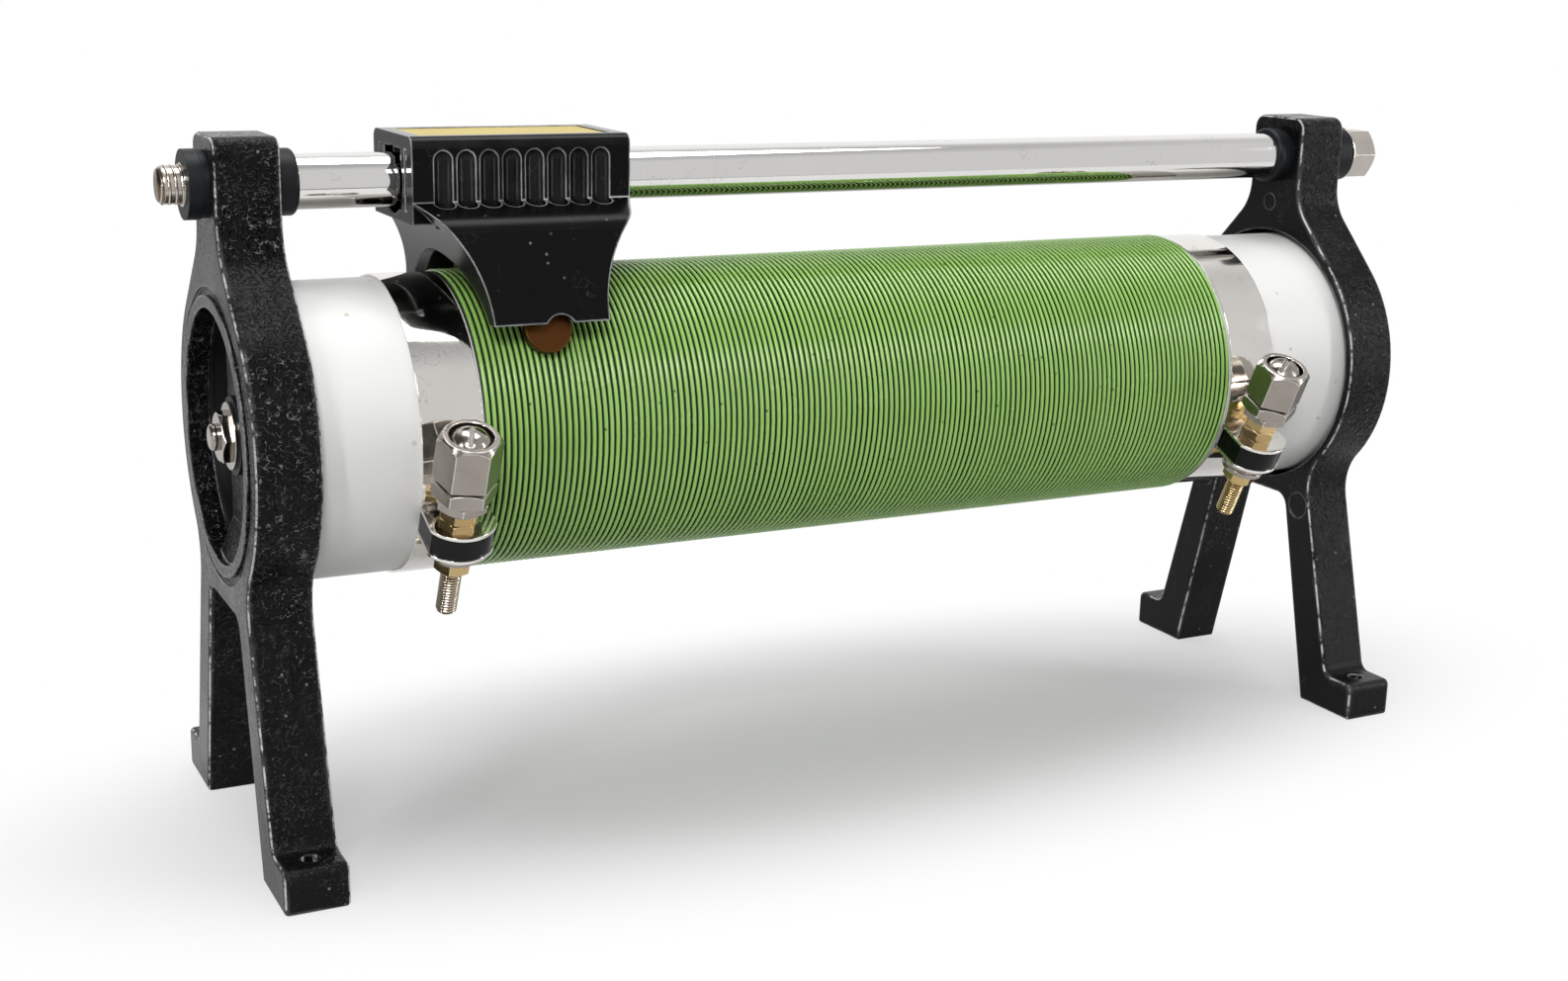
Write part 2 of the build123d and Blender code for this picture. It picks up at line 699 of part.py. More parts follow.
def slider_section():
    """Housing seen along X: block above, flared skirts below."""
    half = [(slider_half_width, slider_top_height), (slider_half_width, slider_shoulder_height),
            (skirt_knee_reach, skirt_knee_height), (skirt_reach, skirt_bottom_height)]
    mirrored = [(-y, z) for y, z in reversed(half)]
    section = make_face(Polyline(*half, *mirrored, close=True))
    section = fillet(vertices_at(section, both_sides(skirt_knee_reach, skirt_knee_height)),
                     skirt_knee_radius)
    return fillet(vertices_at(section, both_sides(slider_half_width, slider_top_height)),
                  slider_top_edge_radius)


def slider_side_outline(inset):
    """Housing seen along Y: the skirts narrow downwards in two concave arcs."""
    drop = slider_shoulder_height - skirt_bottom_height
    gain = slider_length / 2 - skirt_bottom_half_length
    outer_radius = (gain ** 2 + drop ** 2) / (2 * gain)
    centre = skirt_bottom_half_length + outer_radius
    radius = outer_radius + inset
    half = centre - sqrt(radius ** 2 - drop ** 2)
    base_half = centre - radius
    middle = radians(25)
    edges = []
    for side in (-1, 1):
        edges.append(ThreePointArc(
            (side * half, slider_shoulder_height),
            (side * (centre - radius * cos(middle)), skirt_bottom_height
             + radius * sin(middle)),
            (side * base_half, skirt_bottom_height)))
    top = Polyline((-half, slider_shoulder_height), (-half, slider_top_height),
                   (half, slider_top_height), (half, slider_shoulder_height))
    base = Line((-base_half, skirt_bottom_height), (base_half, skirt_bottom_height))
    return make_face(edges + [base] + top.edges())


def skirt_cavity():
    """Tent-shaped room between the skirts, closed by a web at each end."""
    inner = skirt_reach - skirt_edge_width
    section = make_face(Polyline(
        (-inner, skirt_bottom_height), (inner, skirt_bottom_height),
        (tent_apex_half_width, tent_apex_height), (-tent_apex_half_width, tent_apex_height),
        close=True))
    room = extrude(Plane.YZ * section, slider_length / 2, both=True)
    return room & extrude(Plane.XZ * slider_side_outline(skirt_web), skirt_reach, both=True)


def flute():
    """One upright thumb flute: a round groove that ends in a ball at the top."""
    reach = slider_half_width + flute_radius - flute_depth
    groove = Pos(0, 0, slider_shoulder_height - 6) * extrude(
        Circle(flute_radius), flute_top_height - flute_radius - slider_shoulder_height + 6)
    groove += Pos(0, 0, flute_top_height - flute_radius) * Sphere(flute_radius)
    return Pos(0, -reach, 0) * groove


def roller_plane(side):
    """Roller's frame: origin at its centre on the outer face, Z out along its axis."""
    tilt = radians(roller_tilt)
    low_z = tube_axis_height + roller_foot_rise
    centre_y = roller_reach - roller_radius * sin(tilt) + roller_thickness * cos(tilt)
    centre_z = low_z + roller_radius * cos(tilt) + roller_thickness * sin(tilt)
    return Plane(origin=(0, side * centre_y, centre_z), x_dir=(1, 0, 0),
                 z_dir=(0, side * cos(tilt), sin(tilt)))


def roller_pocket(side):
    """Room inside a skirt for the roller and its leaf, open to the cavity."""
    clear = roller_pocket_clearance
    half = roller_radius + clear
    depth = clip_start + clip_thickness + 3 * clear
    room = Box(2 * half, 2 * half, depth, align=(Align.CENTER, Align.CENTER, Align.MAX))
    return roller_plane(side).location * (Pos(0, 0, clear) * room)


def slider_body():
    body = extrude(Plane.YZ * slider_section(), slider_length / 2, both=True)
    body = body & extrude(Plane.XZ * slider_side_outline(0), skirt_reach + 1, both=True)
    lip_reach = slider_shoulder_height + 1 - end_lip_bottom
    body += Pos(0, 0, end_lip_bottom + lip_reach / 2) * Box(
        slider_length, 2 * slider_half_width, lip_reach)
    body -= rod_along_x(arch_radius, -slider_length, slider_length, tube_axis_height)
    body -= skirt_cavity()
    inner_half = slider_half_width - slider_wall
    ceiling = slider_top_height - slider_ceiling
    room = slider_length / 2 - end_recess - end_wall
    room_height = ceiling - end_lip_top
    room_middle = (ceiling + end_lip_top) / 2
    body -= Pos(0, 0, room_middle) * Box(2 * room, 2 * inner_half, room_height)
    for end in (-1, 1):
        body -= Pos(end * slider_length / 2, 0, room_middle) * Box(
            2 * end_recess, 2 * inner_half, room_height)
        for side_sign in (-1, 1):
            x = end * (slider_length - end_recess) / 2
            body += Pos(x, side_sign * end_rib_offset, room_middle) * Box(
                end_recess, end_rib_width, room_height)
    body -= rod_along_x(bush_seat_radius(), -slider_length, slider_length, rod_axis_height)
    for index in range(flute_count):
        x = (index - (flute_count - 1) / 2) * flute_pitch
        groove = Pos(x, 0, 0) * flute()
        body -= groove
        body -= mirror(groove, Plane.XZ)
    pocket = extrude(Rectangle(label_length + 2 * label_margin, label_width + 2 * label_margin),
                     label_pocket + 1)
    body -= Pos(0, 0, slider_top_height - label_pocket) * pocket
    for side_sign in (-1, 1):
        body -= roller_pocket(side_sign)
        body -= skirt_notch(side_sign)
        body -= leaf_screw_hole(side_sign)
    return body


def bush_seat_radius():
    return rod_radius + slider_running_clearance + slider_bush_wall


def skirt_notch(side):
    """Small arch in a skirt's bottom edge, over the roller."""
    radius = (notch_half_width ** 2 + notch_height ** 2) / (2 * notch_height)
    centre = skirt_bottom_height + notch_height - radius
    plane = Plane(origin=(notch_offset, side * (skirt_reach - 2 * skirt_edge_width), centre),
                  x_dir=(1, 0, 0), z_dir=(0, side, 0))
    return extrude(plane * Circle(radius), 3 * skirt_edge_width)


def leaf_points():
    """Leaf's outer side in (y, z), on the +Y side: cavity slope first, then behind the roller."""
    tilt = radians(roller_tilt)
    face = roller_plane(1)
    back = roller_thickness + leaf_gap
    pin_y = face.origin.Y - back * cos(tilt)
    pin_z = face.origin.Z - back * sin(tilt)
    end = (pin_y + leaf_tail * sin(tilt), pin_z - leaf_tail * cos(tilt))
    knee = (pin_y - roller_radius * sin(tilt), pin_z + roller_radius * cos(tilt))
    top = (leaf_top_reach, leaf_seat_height(leaf_top_reach))
    bend = (leaf_bend_reach, leaf_seat_height(leaf_bend_reach))
    return top, bend, knee, end


def leaf_seat_height(y):
    """Height of the leaf's outer side under the cavity's slope."""
    base = skirt_reach - skirt_edge_width
    slope = (tent_apex_height - skirt_bottom_height) / (base - tent_apex_half_width)
    return skirt_bottom_height + (base - y) * slope - leaf_gap


def leaf_spring(side):
    """Bronze leaf: screwed under the housing, bent down to carry the roller's axle."""
    path = FilletPolyline(*leaf_points(), radius=leaf_bend_radius)
    strip = Face(Wire(path.edges()).offset_2d(leaf_thickness, side=Side.RIGHT, closed=True))
    leaf = extrude(Plane.YZ * strip, leaf_width / 2, both=True)
    leaf -= screw_frame(1).location * Cylinder(leaf_screw_radius + fixed_bore_clearance, 6)
    leaf -= roller_plane(1).location * Cylinder(axle_radius + axle_clearance,
                                                4 * roller_thickness)
    return leaf if side > 0 else mirror(leaf, Plane.XZ)


def screw_frame(side):
    """Leaf screw's frame: origin on the cavity's slope, Z into the skirt."""
    top, bend, _, _ = leaf_points()
    share = leaf_screw_position
    y = top[0] + share * (bend[0] - top[0])
    z = top[1] + share * (bend[1] - top[1])
    along = Vector(0, side * (bend[0] - top[0]), bend[1] - top[1]).normalized()
    normal = Vector(0, -side * along.Z, abs(along.Y))
    return Plane(origin=(0, side * y, z), x_dir=(1, 0, 0), z_dir=tuple(normal))


def leaf_screw_hole(side):
    hole = Cylinder(leaf_screw_radius + fixed_bore_clearance, leaf_screw_length + 0.3,
                    align=(Align.CENTER, Align.CENTER, Align.MIN))
    return screw_frame(side).location * hole


def leaf_screw(side):
    shank = Pos(0, 0, -leaf_thickness) * extrude(Circle(leaf_screw_radius),
                                                 leaf_screw_length + leaf_thickness)
    head = Pos(0, 0, -leaf_thickness - leaf_screw_head_thickness) * extrude(
        Circle(leaf_screw_head_radius), leaf_screw_head_thickness)
    head = fillet(head.edges().group_by(Axis.Z)[0], 0.4)
    return screw_frame(side).location * (shank + head)


def contact_roller(side):
    """Plain disc with a stub axle on its back that turns in the leaf."""
    disc = Pos(0, 0, -roller_thickness) * extrude(Circle(roller_radius), roller_thickness)
    disc = fillet(disc.edges(), roller_edge_radius)
    length = clip_start + clip_thickness + axle_end
    disc += Pos(0, 0, -length) * extrude(Circle(axle_radius), length - roller_thickness / 2)
    return roller_plane(side).location * disc


def roller_clip(side):
    """Small ring on the stub axle that keeps the roller in its leaf."""
    clip = extrude(Circle(clip_radius) - Circle(axle_radius + clip_seat_clearance),
                   clip_thickness)
    return roller_plane(side).location * (Pos(0, 0, -clip_start - clip_thickness) * clip)


def slider_group():
    at = Pos(slider_rest_x, 0, 0)
    save("slider_body", at * slider_body())
    plate = extrude(RectangleRounded(label_length, label_width, label_corner), label_thickness)
    save("slider_label", at * (Pos(0, 0, slider_top_height - label_pocket) * plate))
    wall_end = slider_length / 2 - end_recess
    bore = rod_radius + slider_running_clearance
    for name, start in (("slider_left_bush", -wall_end),
                        ("slider_right_bush", wall_end - slider_bush_length)):
        save(name, at * ring(bush_seat_radius() - 0.02, bore, start, slider_bush_length,
                             rod_axis_height))
    for name, side in (("front", -1), ("rear", 1)):
        save(f"{name}_contact_leaf", at * leaf_spring(side))
        save(f"{name}_contact_roller", at * contact_roller(side))
        save(f"{name}_roller_clip", at * roller_clip(side))
    save("leaf_screws", Compound([at * leaf_screw(side) for side in (-1, 1)]))


left_frame = end_frame()
save("left_end_frame", left_frame)
save("right_end_frame", mirror(left_frame, Plane.YZ))
tube_group()
tie_group()
rod_group()
terminal("left", -1)
terminal("right", 1)
slider_group()
print("roller centre:", slider_rest_x, roller_plane(1).origin.Y, roller_plane(1).origin.Z)
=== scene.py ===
# %% [markdown]
# # A laboratory rheostat
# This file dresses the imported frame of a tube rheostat: a white ceramic tube wound with green
# resistance wire, two cast end frames, a chromed guide rod and a moulded slider. The frame
# already has the right solids, so the work here is the wire, the threads, the finishes, the
# light and the camera. Lengths are metres, and mm is one millimetre.

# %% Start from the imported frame
import json
import math

import bpy
import numpy as np
from mathutils import Matrix, Vector


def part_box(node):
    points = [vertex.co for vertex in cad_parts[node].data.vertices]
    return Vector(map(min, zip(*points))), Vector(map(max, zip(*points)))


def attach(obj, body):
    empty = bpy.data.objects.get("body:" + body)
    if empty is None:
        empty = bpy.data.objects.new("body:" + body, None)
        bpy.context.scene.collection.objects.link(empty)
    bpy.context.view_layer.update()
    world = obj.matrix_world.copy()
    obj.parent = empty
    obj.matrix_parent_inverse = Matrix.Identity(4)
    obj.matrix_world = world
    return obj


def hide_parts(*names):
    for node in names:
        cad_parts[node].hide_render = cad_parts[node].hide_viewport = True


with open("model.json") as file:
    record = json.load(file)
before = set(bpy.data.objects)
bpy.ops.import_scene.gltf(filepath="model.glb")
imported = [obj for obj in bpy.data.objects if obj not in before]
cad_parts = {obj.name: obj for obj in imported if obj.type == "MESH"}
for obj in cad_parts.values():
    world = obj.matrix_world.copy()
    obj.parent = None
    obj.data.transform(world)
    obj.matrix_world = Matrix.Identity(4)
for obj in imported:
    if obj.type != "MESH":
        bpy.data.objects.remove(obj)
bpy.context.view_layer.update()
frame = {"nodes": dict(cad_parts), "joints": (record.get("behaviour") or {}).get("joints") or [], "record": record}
mm = 0.001
scene = bpy.context.scene
slot_of = {part["node"]: part["material_slot"] for part in frame["record"]["subparts"]}
tube_low, tube_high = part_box("ceramic_tube")
tube_axis_z = (tube_low.z + tube_high.z) / 2
tube_radius = (tube_high.z - tube_low.z) / 2
print("nodes in the frame:", len(frame["nodes"]))
print("tube radius:", round(tube_radius / mm, 2), "mm")

# %% [markdown]
# ## Effects that several finishes share
# Real surfaces differ from each other in a few ways only: their edges are a little round, they
# carry dust and small scratches, their gloss is uneven, and paint or metal has a grain. They
# could be drawn anew in every material, but a node group with named inputs is drawn once, and
# every finish then uses it with its own values. The helpers in the next cell add one node each
# and return the socket that comes out of it, so that a chain of nodes reads like a formula.


# %% Helpers that add one node
def put(tree, value, socket):
    """Set a socket to a number or a tuple, or link another socket to it."""
    if isinstance(value, (int, float, tuple)):
        socket.default_value = value
    else:
        tree.links.new(value, socket)


def math_node(tree, operation, first, second=None, clamp=False):
    """A Math node on numbers or sockets."""
    node = tree.nodes.new("ShaderNodeMath")
    node.operation = operation
    node.use_clamp = clamp
    put(tree, first, node.inputs[0])
    if second is not None:
        put(tree, second, node.inputs[1])
    return node.outputs[0]


def product(tree, first, *others):
    """The first number or socket times all the others."""
    for other in others:
        first = math_node(tree, "MULTIPLY", first, other)
    return first


def vector_math(tree, operation, first, second=None):
    """A Vector Math node on tuples or sockets; a length or dot product gives a number."""
    node = tree.nodes.new("ShaderNodeVectorMath")
    node.operation = operation
    put(tree, first, node.inputs[0])
    if second is not None:
        put(tree, second, node.inputs[1])
    gives_number = operation in ("LENGTH", "DOT_PRODUCT")
    return node.outputs["Value" if gives_number else "Vector"]


def components(tree, vector):
    """The X, Y and Z sockets of a vector socket."""
    node = tree.nodes.new("ShaderNodeSeparateXYZ")
    tree.links.new(vector, node.inputs[0])
    return node.outputs


def ramp(tree, value, low, high, low_out=0.0, high_out=1.0):
    """Smooth step of value from low_out to high_out between low and high."""
    node = tree.nodes.new("ShaderNodeMapRange")
    node.interpolation_type = "SMOOTHSTEP"
    for label, given in (("Value", value), ("From Min", low), ("From Max", high),
                         ("To Min", low_out), ("To Max", high_out)):
        put(tree, given, node.inputs[label])
    return node.outputs["Result"]


def noise(tree, vector, scale, detail=2.0, roughness=0.5, output="Fac"):
    """Noise texture on a vector socket; scale is in features per metre."""
    node = tree.nodes.new("ShaderNodeTexNoise")
    for label, given in (("Vector", vector), ("Scale", scale), ("Detail", detail),
                         ("Roughness", roughness)):
        put(tree, given, node.inputs[label])
    return node.outputs[output]


def off_middle(tree, value):
    """How far a noise is from its middle value, which it passes along winding lines."""
    return math_node(tree, "ABSOLUTE", math_node(tree, "SUBTRACT", value, 0.5))


def object_place(tree):
    """Object coordinates, which are metres in the frame's own axes."""
    return tree.nodes.new("ShaderNodeTexCoord").outputs["Object"]


def object_normal(tree):
    """The mesh's normal in the frame's own axes."""
    return tree.nodes.new("ShaderNodeTexCoord").outputs["Normal"]


print("helpers that add a node: math_node, vector_math, ramp, noise and others")


# %% An empty node group
def group_with(name, inputs, numbers, vectors=()):
    """A shader group; inputs are (name, default), numbers and vectors name its outputs."""
    group = bpy.data.node_groups.new(name, "ShaderNodeTree")
    for label, value in inputs:
        kind = "NodeSocketVector" if isinstance(value, tuple) else "NodeSocketFloat"
        socket = group.interface.new_socket(name=label, in_out="INPUT", socket_type=kind)
        socket.default_value = value
    for labels, kind in ((vectors, "NodeSocketVector"), (numbers, "NodeSocketFloat")):
        for label in labels:
            group.interface.new_socket(name=label, in_out="OUTPUT", socket_type=kind)
    return group, group.nodes.new("NodeGroupInput"), group.nodes.new("NodeGroupOutput")


print("groups so far:", len(bpy.data.node_groups))

# %% [markdown]
# ### Rounded edges
# A solid's edges are perfectly sharp, and no real edge is. Cutting a small round into every
# mesh would cost many faces. The Bevel node bends only the normal, as if the edge were round,
# and where it bends it also tells the finish that an edge is there, for wear and bright lines.


# %% Rounded edges and an edge mask
def build_soft_edges():
    """Normal of the surface with its edges rounded, and how much an edge turned it (0 to 1)."""
    group, given, out = group_with(
        "soft_edges", [("Radius", 0.4 * mm), ("Gain", 6.0)], ["Edge"], ["Normal"])
    bevel = group.nodes.new("ShaderNodeBevel")
    bevel.samples = 4
    group.links.new(given.outputs["Radius"], bevel.inputs["Radius"])
    plain = group.nodes.new("ShaderNodeNewGeometry").outputs["Normal"]
    likeness = vector_math(group, "DOT_PRODUCT", bevel.outputs["Normal"], plain)
    turned = math_node(group, "SUBTRACT", 1.0, likeness)
    mask = math_node(group, "MULTIPLY", turned, given.outputs["Gain"], clamp=True)
    group.links.new(bevel.outputs["Normal"], out.inputs["Normal"])
    group.links.new(mask, out.inputs["Edge"])
    return group


soft_edges = build_soft_edges()
print(soft_edges.name, "has", len(soft_edges.nodes), "nodes")

# %% [markdown]
# ### Signs of handling
# A bench instrument gathers specks and hairline scratches, and hands leave its gloss uneven.
# Specks are the centres of a few Voronoi cells. Scratches are the thin lines along which a
# noise passes its middle value, kept only in patches, because real ones come in groups.


# %% Dust, scratches and clouds
def build_handling():
    """Dust: sparse round specks. Scratch: thin broken lines. Cloud: slow change of gloss."""
    group, given, out = group_with(
        "handling", [("Speck scale", 900.0), ("Line scale", 160.0), ("Cloud scale", 40.0)],
        ["Dust", "Scratch", "Cloud"])
    place = object_place(group)
    cells = group.nodes.new("ShaderNodeTexVoronoi")
    group.links.new(place, cells.inputs["Vector"])
    group.links.new(given.outputs["Speck scale"], cells.inputs["Scale"])
    near = ramp(group, cells.outputs["Distance"], 0.10, 0.26, 1.0, 0.0)
    chance = group.nodes.new("ShaderNodeSeparateColor")
    group.links.new(cells.outputs["Color"], chance.inputs[0])
    rare = ramp(group, chance.outputs[0], 0.90, 0.97)
    group.links.new(product(group, near, rare), out.inputs["Dust"])
    line = off_middle(group, noise(group, place, given.outputs["Line scale"], 3.0, 0.6))
    thin = ramp(group, line, 0.0, 0.006, 1.0, 0.0)
    patch = ramp(group, noise(group, place, 70.0), 0.52, 0.62)
    group.links.new(product(group, thin, patch), out.inputs["Scratch"])
    cloud = noise(group, place, given.outputs["Cloud scale"], 3.0, 0.6)
    group.links.new(cloud, out.inputs["Cloud"])
    return group


handling = build_handling()
print(handling.name, "has", len(handling.nodes), "nodes")

# %% [markdown]
# ### Wrinkled enamel
# The end frames are cast iron under a thick black enamel that pulled itself into short crossing
# ridges as it dried. Sculpting them would take millions of faces. A bent noise gives the same
# winding lines as a height for the bump, and its thinnest lines also give a lighter colour as
# painted glints, a painted highlight which a small render would otherwise lose between its pixels.

# %% Ridges of the enamel, and the heights where the frame's neck is calmer
neck_starts = (116 * mm, 126 * mm)
neck_ends = (138 * mm, 145 * mm)


def build_wrinkle():
    """Height of the ridges; Crest, a painted highlight on their broken thin tops; Rim, a painted
    highlight on the rounded edges of the flat faces.

    The ridges are strongest on faces that look across the tube and above the height Low. They
    fade on the flat outer faces, at the neck and on the right frame."""
    group, given, out = group_with(
        "wrinkle", [("Scale", 620.0), ("Low", 0.03), ("High", 0.075), ("Least", 0.15)],
        ["Height", "Glint", "Rim"])
    place = object_place(group)
    reach = 2.2 * mm
    shift = vector_math(group, "MULTIPLY", noise(group, place, 260.0, output="Color"),
                        (reach, reach, reach))
    bent = vector_math(group, "ADD", place, shift)
    ridge = off_middle(group, noise(group, bent, given.outputs["Scale"], 1.5, 0.4))

    spot = components(group, place)
    along, height = spot["X"], spot["Z"]
    flat = math_node(group, "ABSOLUTE", components(group, object_normal(group))["X"])
    across = ramp(group, flat, 0.55, 0.9, 1.0, 0.22)
    tall = ramp(group, height, given.outputs["Low"], given.outputs["High"],
                given.outputs["Least"])
    neck = product(group, ramp(group, height, *neck_starts),
                   ramp(group, height, *neck_ends, 1.0, 0.0))
    calm = math_node(group, "SUBTRACT", 1.0, product(group, neck, 0.75))
    side = ramp(group, along, -50 * mm, 50 * mm, 1.0, 0.30)
    where = product(group, calm, side, tall)
    patch = ramp(group, noise(group, place, 75.0), 0.36, 0.58, 0.25, 1.0)
    amount = product(group, patch, where, across)

    grain = product(group, noise(group, place, 2600.0), 0.10)
    worm = ramp(group, ridge, 0.0, 0.085, 1.0, 0.0)
    raised = math_node(group, "ADD", grain, product(group, worm, amount))
    group.links.new(raised, out.inputs["Height"])
    # The thinnest ridge lines mark a painted highlight on the wrinkle tops.
    thin = ramp(group, ridge, 0.0, 0.026, 1.0, 0.0)
    spots = ramp(group, noise(group, place, 600.0), 0.42, 0.56)
    group.links.new(product(group, thin, spots, amount), out.inputs["Glint"])
    gaps = ramp(group, noise(group, place, 260.0, 4.0, 0.7), 0.40, 0.56)
    # The rounded edges of the flat faces are marked for a painted highlight.
    rim = product(group, ramp(group, flat, 0.42, 0.62), ramp(group, flat, 0.78, 0.93, 1.0, 0.0),
                  gaps)
    group.links.new(rim, out.inputs["Rim"])
    return group


wrinkle = build_wrinkle()
print(wrinkle.name, "has", len(wrinkle.nodes), "nodes")

# %% [markdown]
# ### Fine lines
# Turning, drawing and brushing leave lines in one direction. A picture of lines would need a
# map for each piece. Here the coordinates are stretched instead, far more across the grain
# than along it, so that plain noise is drawn out into lines at their real size.


# %% Lines of turning, drawing or brushing
def build_fine_lines():
    """Lines: noise from 0 to 1 across the grain, after the coordinates are turned by Turn."""
    group, given, out = group_with(
        "fine_lines", [("Stretch", (40.0, 3000.0, 3000.0)), ("Turn", (0.0, 0.0, 0.0))],
        ["Lines"])
    turn = group.nodes.new("ShaderNodeVectorRotate")
    turn.rotation_type = "EULER_XYZ"
    group.links.new(object_place(group), turn.inputs["Vector"])
    group.links.new(given.outputs["Turn"], turn.inputs["Rotation"])
    wide = vector_math(group, "MULTIPLY", turn.outputs["Vector"], given.outputs["Stretch"])
    group.links.new(noise(group, wide, 1.0), out.inputs["Lines"])
    return group


fine_lines = build_fine_lines()
print("shared effects:", [group.name for group in bpy.data.node_groups])

# %% [markdown]
# ## Finishes
# A finish starts from one Principled shader. Numbers that are the same all over go straight on
# the shader, and what changes over the surface comes from the groups above through a mix or a
# bump. The class in the next cell keeps each finish down to a few lines.

# %% A Mix node has other sockets for each kind of data: first, second, result
mix_sockets = {"FLOAT": (2, 3, 0), "RGBA": (6, 7, 2)}


def mixed(tree, kind, mask, first, second):
    """first where the mask socket is 0 and second where it is 1."""
    node = tree.nodes.new("ShaderNodeMix")
    node.data_type = kind
    tree.links.new(mask, node.inputs["Factor"])
    first_at, second_at, result_at = mix_sockets[kind]
    put(tree, first, node.inputs[first_at])
    put(tree, second, node.inputs[second_at])
    return node.outputs[result_at]


print("kinds of mix:", list(mix_sockets))


# %% A finish and its usual parts
class Finish:
    """A material with its Principled shader and short ways to add nodes to it."""

    def __init__(self, name, **sockets):
        self.material = bpy.data.materials.new(name)
        self.material.use_nodes = True
        self.tree = self.material.node_tree
        self.shader = self.tree.nodes["Principled BSDF"]
        for label, value in sockets.items():
            self.shader.inputs[label.replace("_", " ")].default_value = value

    def effect(self, group, **values):
        """One of the shared groups, with values for its inputs. Returns its outputs."""
        node = self.tree.nodes.new("ShaderNodeGroup")
        node.node_tree = group
        for label, value in values.items():
            node.inputs[label.replace("_", " ")].default_value = value
        return node.outputs

    def feed(self, source, label):
        self.tree.links.new(source, self.shader.inputs[label])

    def mix(self, mask, first, second):
        """Colour between first and second by a mask; each is a tuple or a socket."""
        first, second = ((*c, 1.0) if isinstance(c, tuple) else c for c in (first, second))
        return mixed(self.tree, "RGBA", mask, first, second)

    def over(self, base, *layers):
        """The base colour with each (mask, colour) laid over it in turn."""
        for mask, colour in layers:
            base = self.mix(mask, base, colour)
        return base

    def bump(self, height, distance, strength=1.0, normal=None):
        node = self.tree.nodes.new("ShaderNodeBump")
        node.inputs["Distance"].default_value = distance
        node.inputs["Strength"].default_value = strength
        self.tree.links.new(height, node.inputs["Height"])
        if normal is not None:
            self.tree.links.new(normal, node.inputs["Normal"])
        return node.outputs["Normal"]

    def times(self, *factors):
        return product(self.tree, *factors)

    def larger(self, first, second):
        return math_node(self.tree, "MAXIMUM", first, second)

    def span(self, value, low, high, low_out, high_out):
        return ramp(self.tree, value, low, high, low_out, high_out)

    def distance_from_axis(self, axis_z, low, high):
        """0 nearer than low to the line y = 0, z = axis_z, and 1 further off than high."""
        place = vector_math(self.tree, "SUBTRACT", object_place(self.tree), (0.0, 0.0, axis_z))
        flat = vector_math(self.tree, "MULTIPLY", place, (0.0, 1.0, 1.0))
        return ramp(self.tree, vector_math(self.tree, "LENGTH", flat), low, high)

    def facing(self, axis, sign, low, high):
        """0 to 1 as the surface turns to look along the signed axis, from low to high."""
        normal = components(self.tree, object_normal(self.tree))[axis]
        return ramp(self.tree, self.times(normal, sign), low, high)

    def outward(self, low, high):
        """0 where the stored depth mark is under low and 1 where it is over high."""
        node = self.tree.nodes.new("ShaderNodeAttribute")
        node.attribute_name = "outward"
        return ramp(self.tree, node.outputs["Fac"], low, high)

    def height_above(self, low, high):
        """0 below z = low and 1 above z = high."""
        return ramp(self.tree, components(self.tree, object_place(self.tree))["Z"], low, high)


print("a finish takes its effects from", len(bpy.data.node_groups), "groups")

# %% [markdown]
# ### Castings
# The enamel could be plain glossy black, but then the frames would look moulded. On edges it is
# thin and catches the light in broken lines, so the edge mask lightens it there, partly as thin
# paint over the metal and partly as a painted highlight, and the clouds break that line up. The
# tops of the wrinkles are lighter as a painted highlight that stands for their glints.


# %% Enamel of the end frames
def enamel_finish():
    black, dark = (0.0020, 0.0020, 0.0022), (0.0055, 0.0055, 0.006)
    crest, edge = (0.20, 0.20, 0.205), (0.50, 0.50, 0.505)
    scratch, dust = (0.06, 0.06, 0.06), (0.16, 0.16, 0.155)
    finish = Finish("black_wrinkle_enamel", Specular_IOR_Level=0.13)
    folds = finish.effect(wrinkle, Scale=640.0)
    edges = finish.effect(soft_edges, Radius=0.7 * mm, Gain=9.0)
    wear = finish.effect(handling, Speck_scale=560.0, Line_scale=150.0, Cloud_scale=60.0)
    broken = finish.times(edges["Edge"], finish.span(wear["Cloud"], 0.42, 0.58, 0.12, 1.0))
    # Lighter wrinkle tops are a painted highlight; the lighter edges are partly thin paint and partly a painted
    # highlight.
    colour = finish.over(black, (wear["Cloud"], dark), (folds["Glint"], crest),
                         (finish.larger(broken, folds["Rim"]), edge),
                         (wear["Scratch"], scratch), (wear["Dust"], dust))
    finish.feed(colour, "Base Color")
    finish.feed(finish.span(wear["Cloud"], 0.3, 0.7, 0.09, 0.20), "Roughness")
    finish.feed(finish.bump(folds["Height"], 0.9 * mm, 1.0, edges["Normal"]), "Normal")
    return finish.material


enamel = enamel_finish()
print(enamel.name, "has", len(enamel.node_tree.nodes), "nodes")

# %% [markdown]
# ### Ceramic and fibre
# The tube is glazed, white with a soft sheen. Its bore is dark. Two materials on one mesh would
# need its faces sorted, so one material changes with the distance from the tube's axis. The
# bushes and washers at the rod are a dull black fibre.


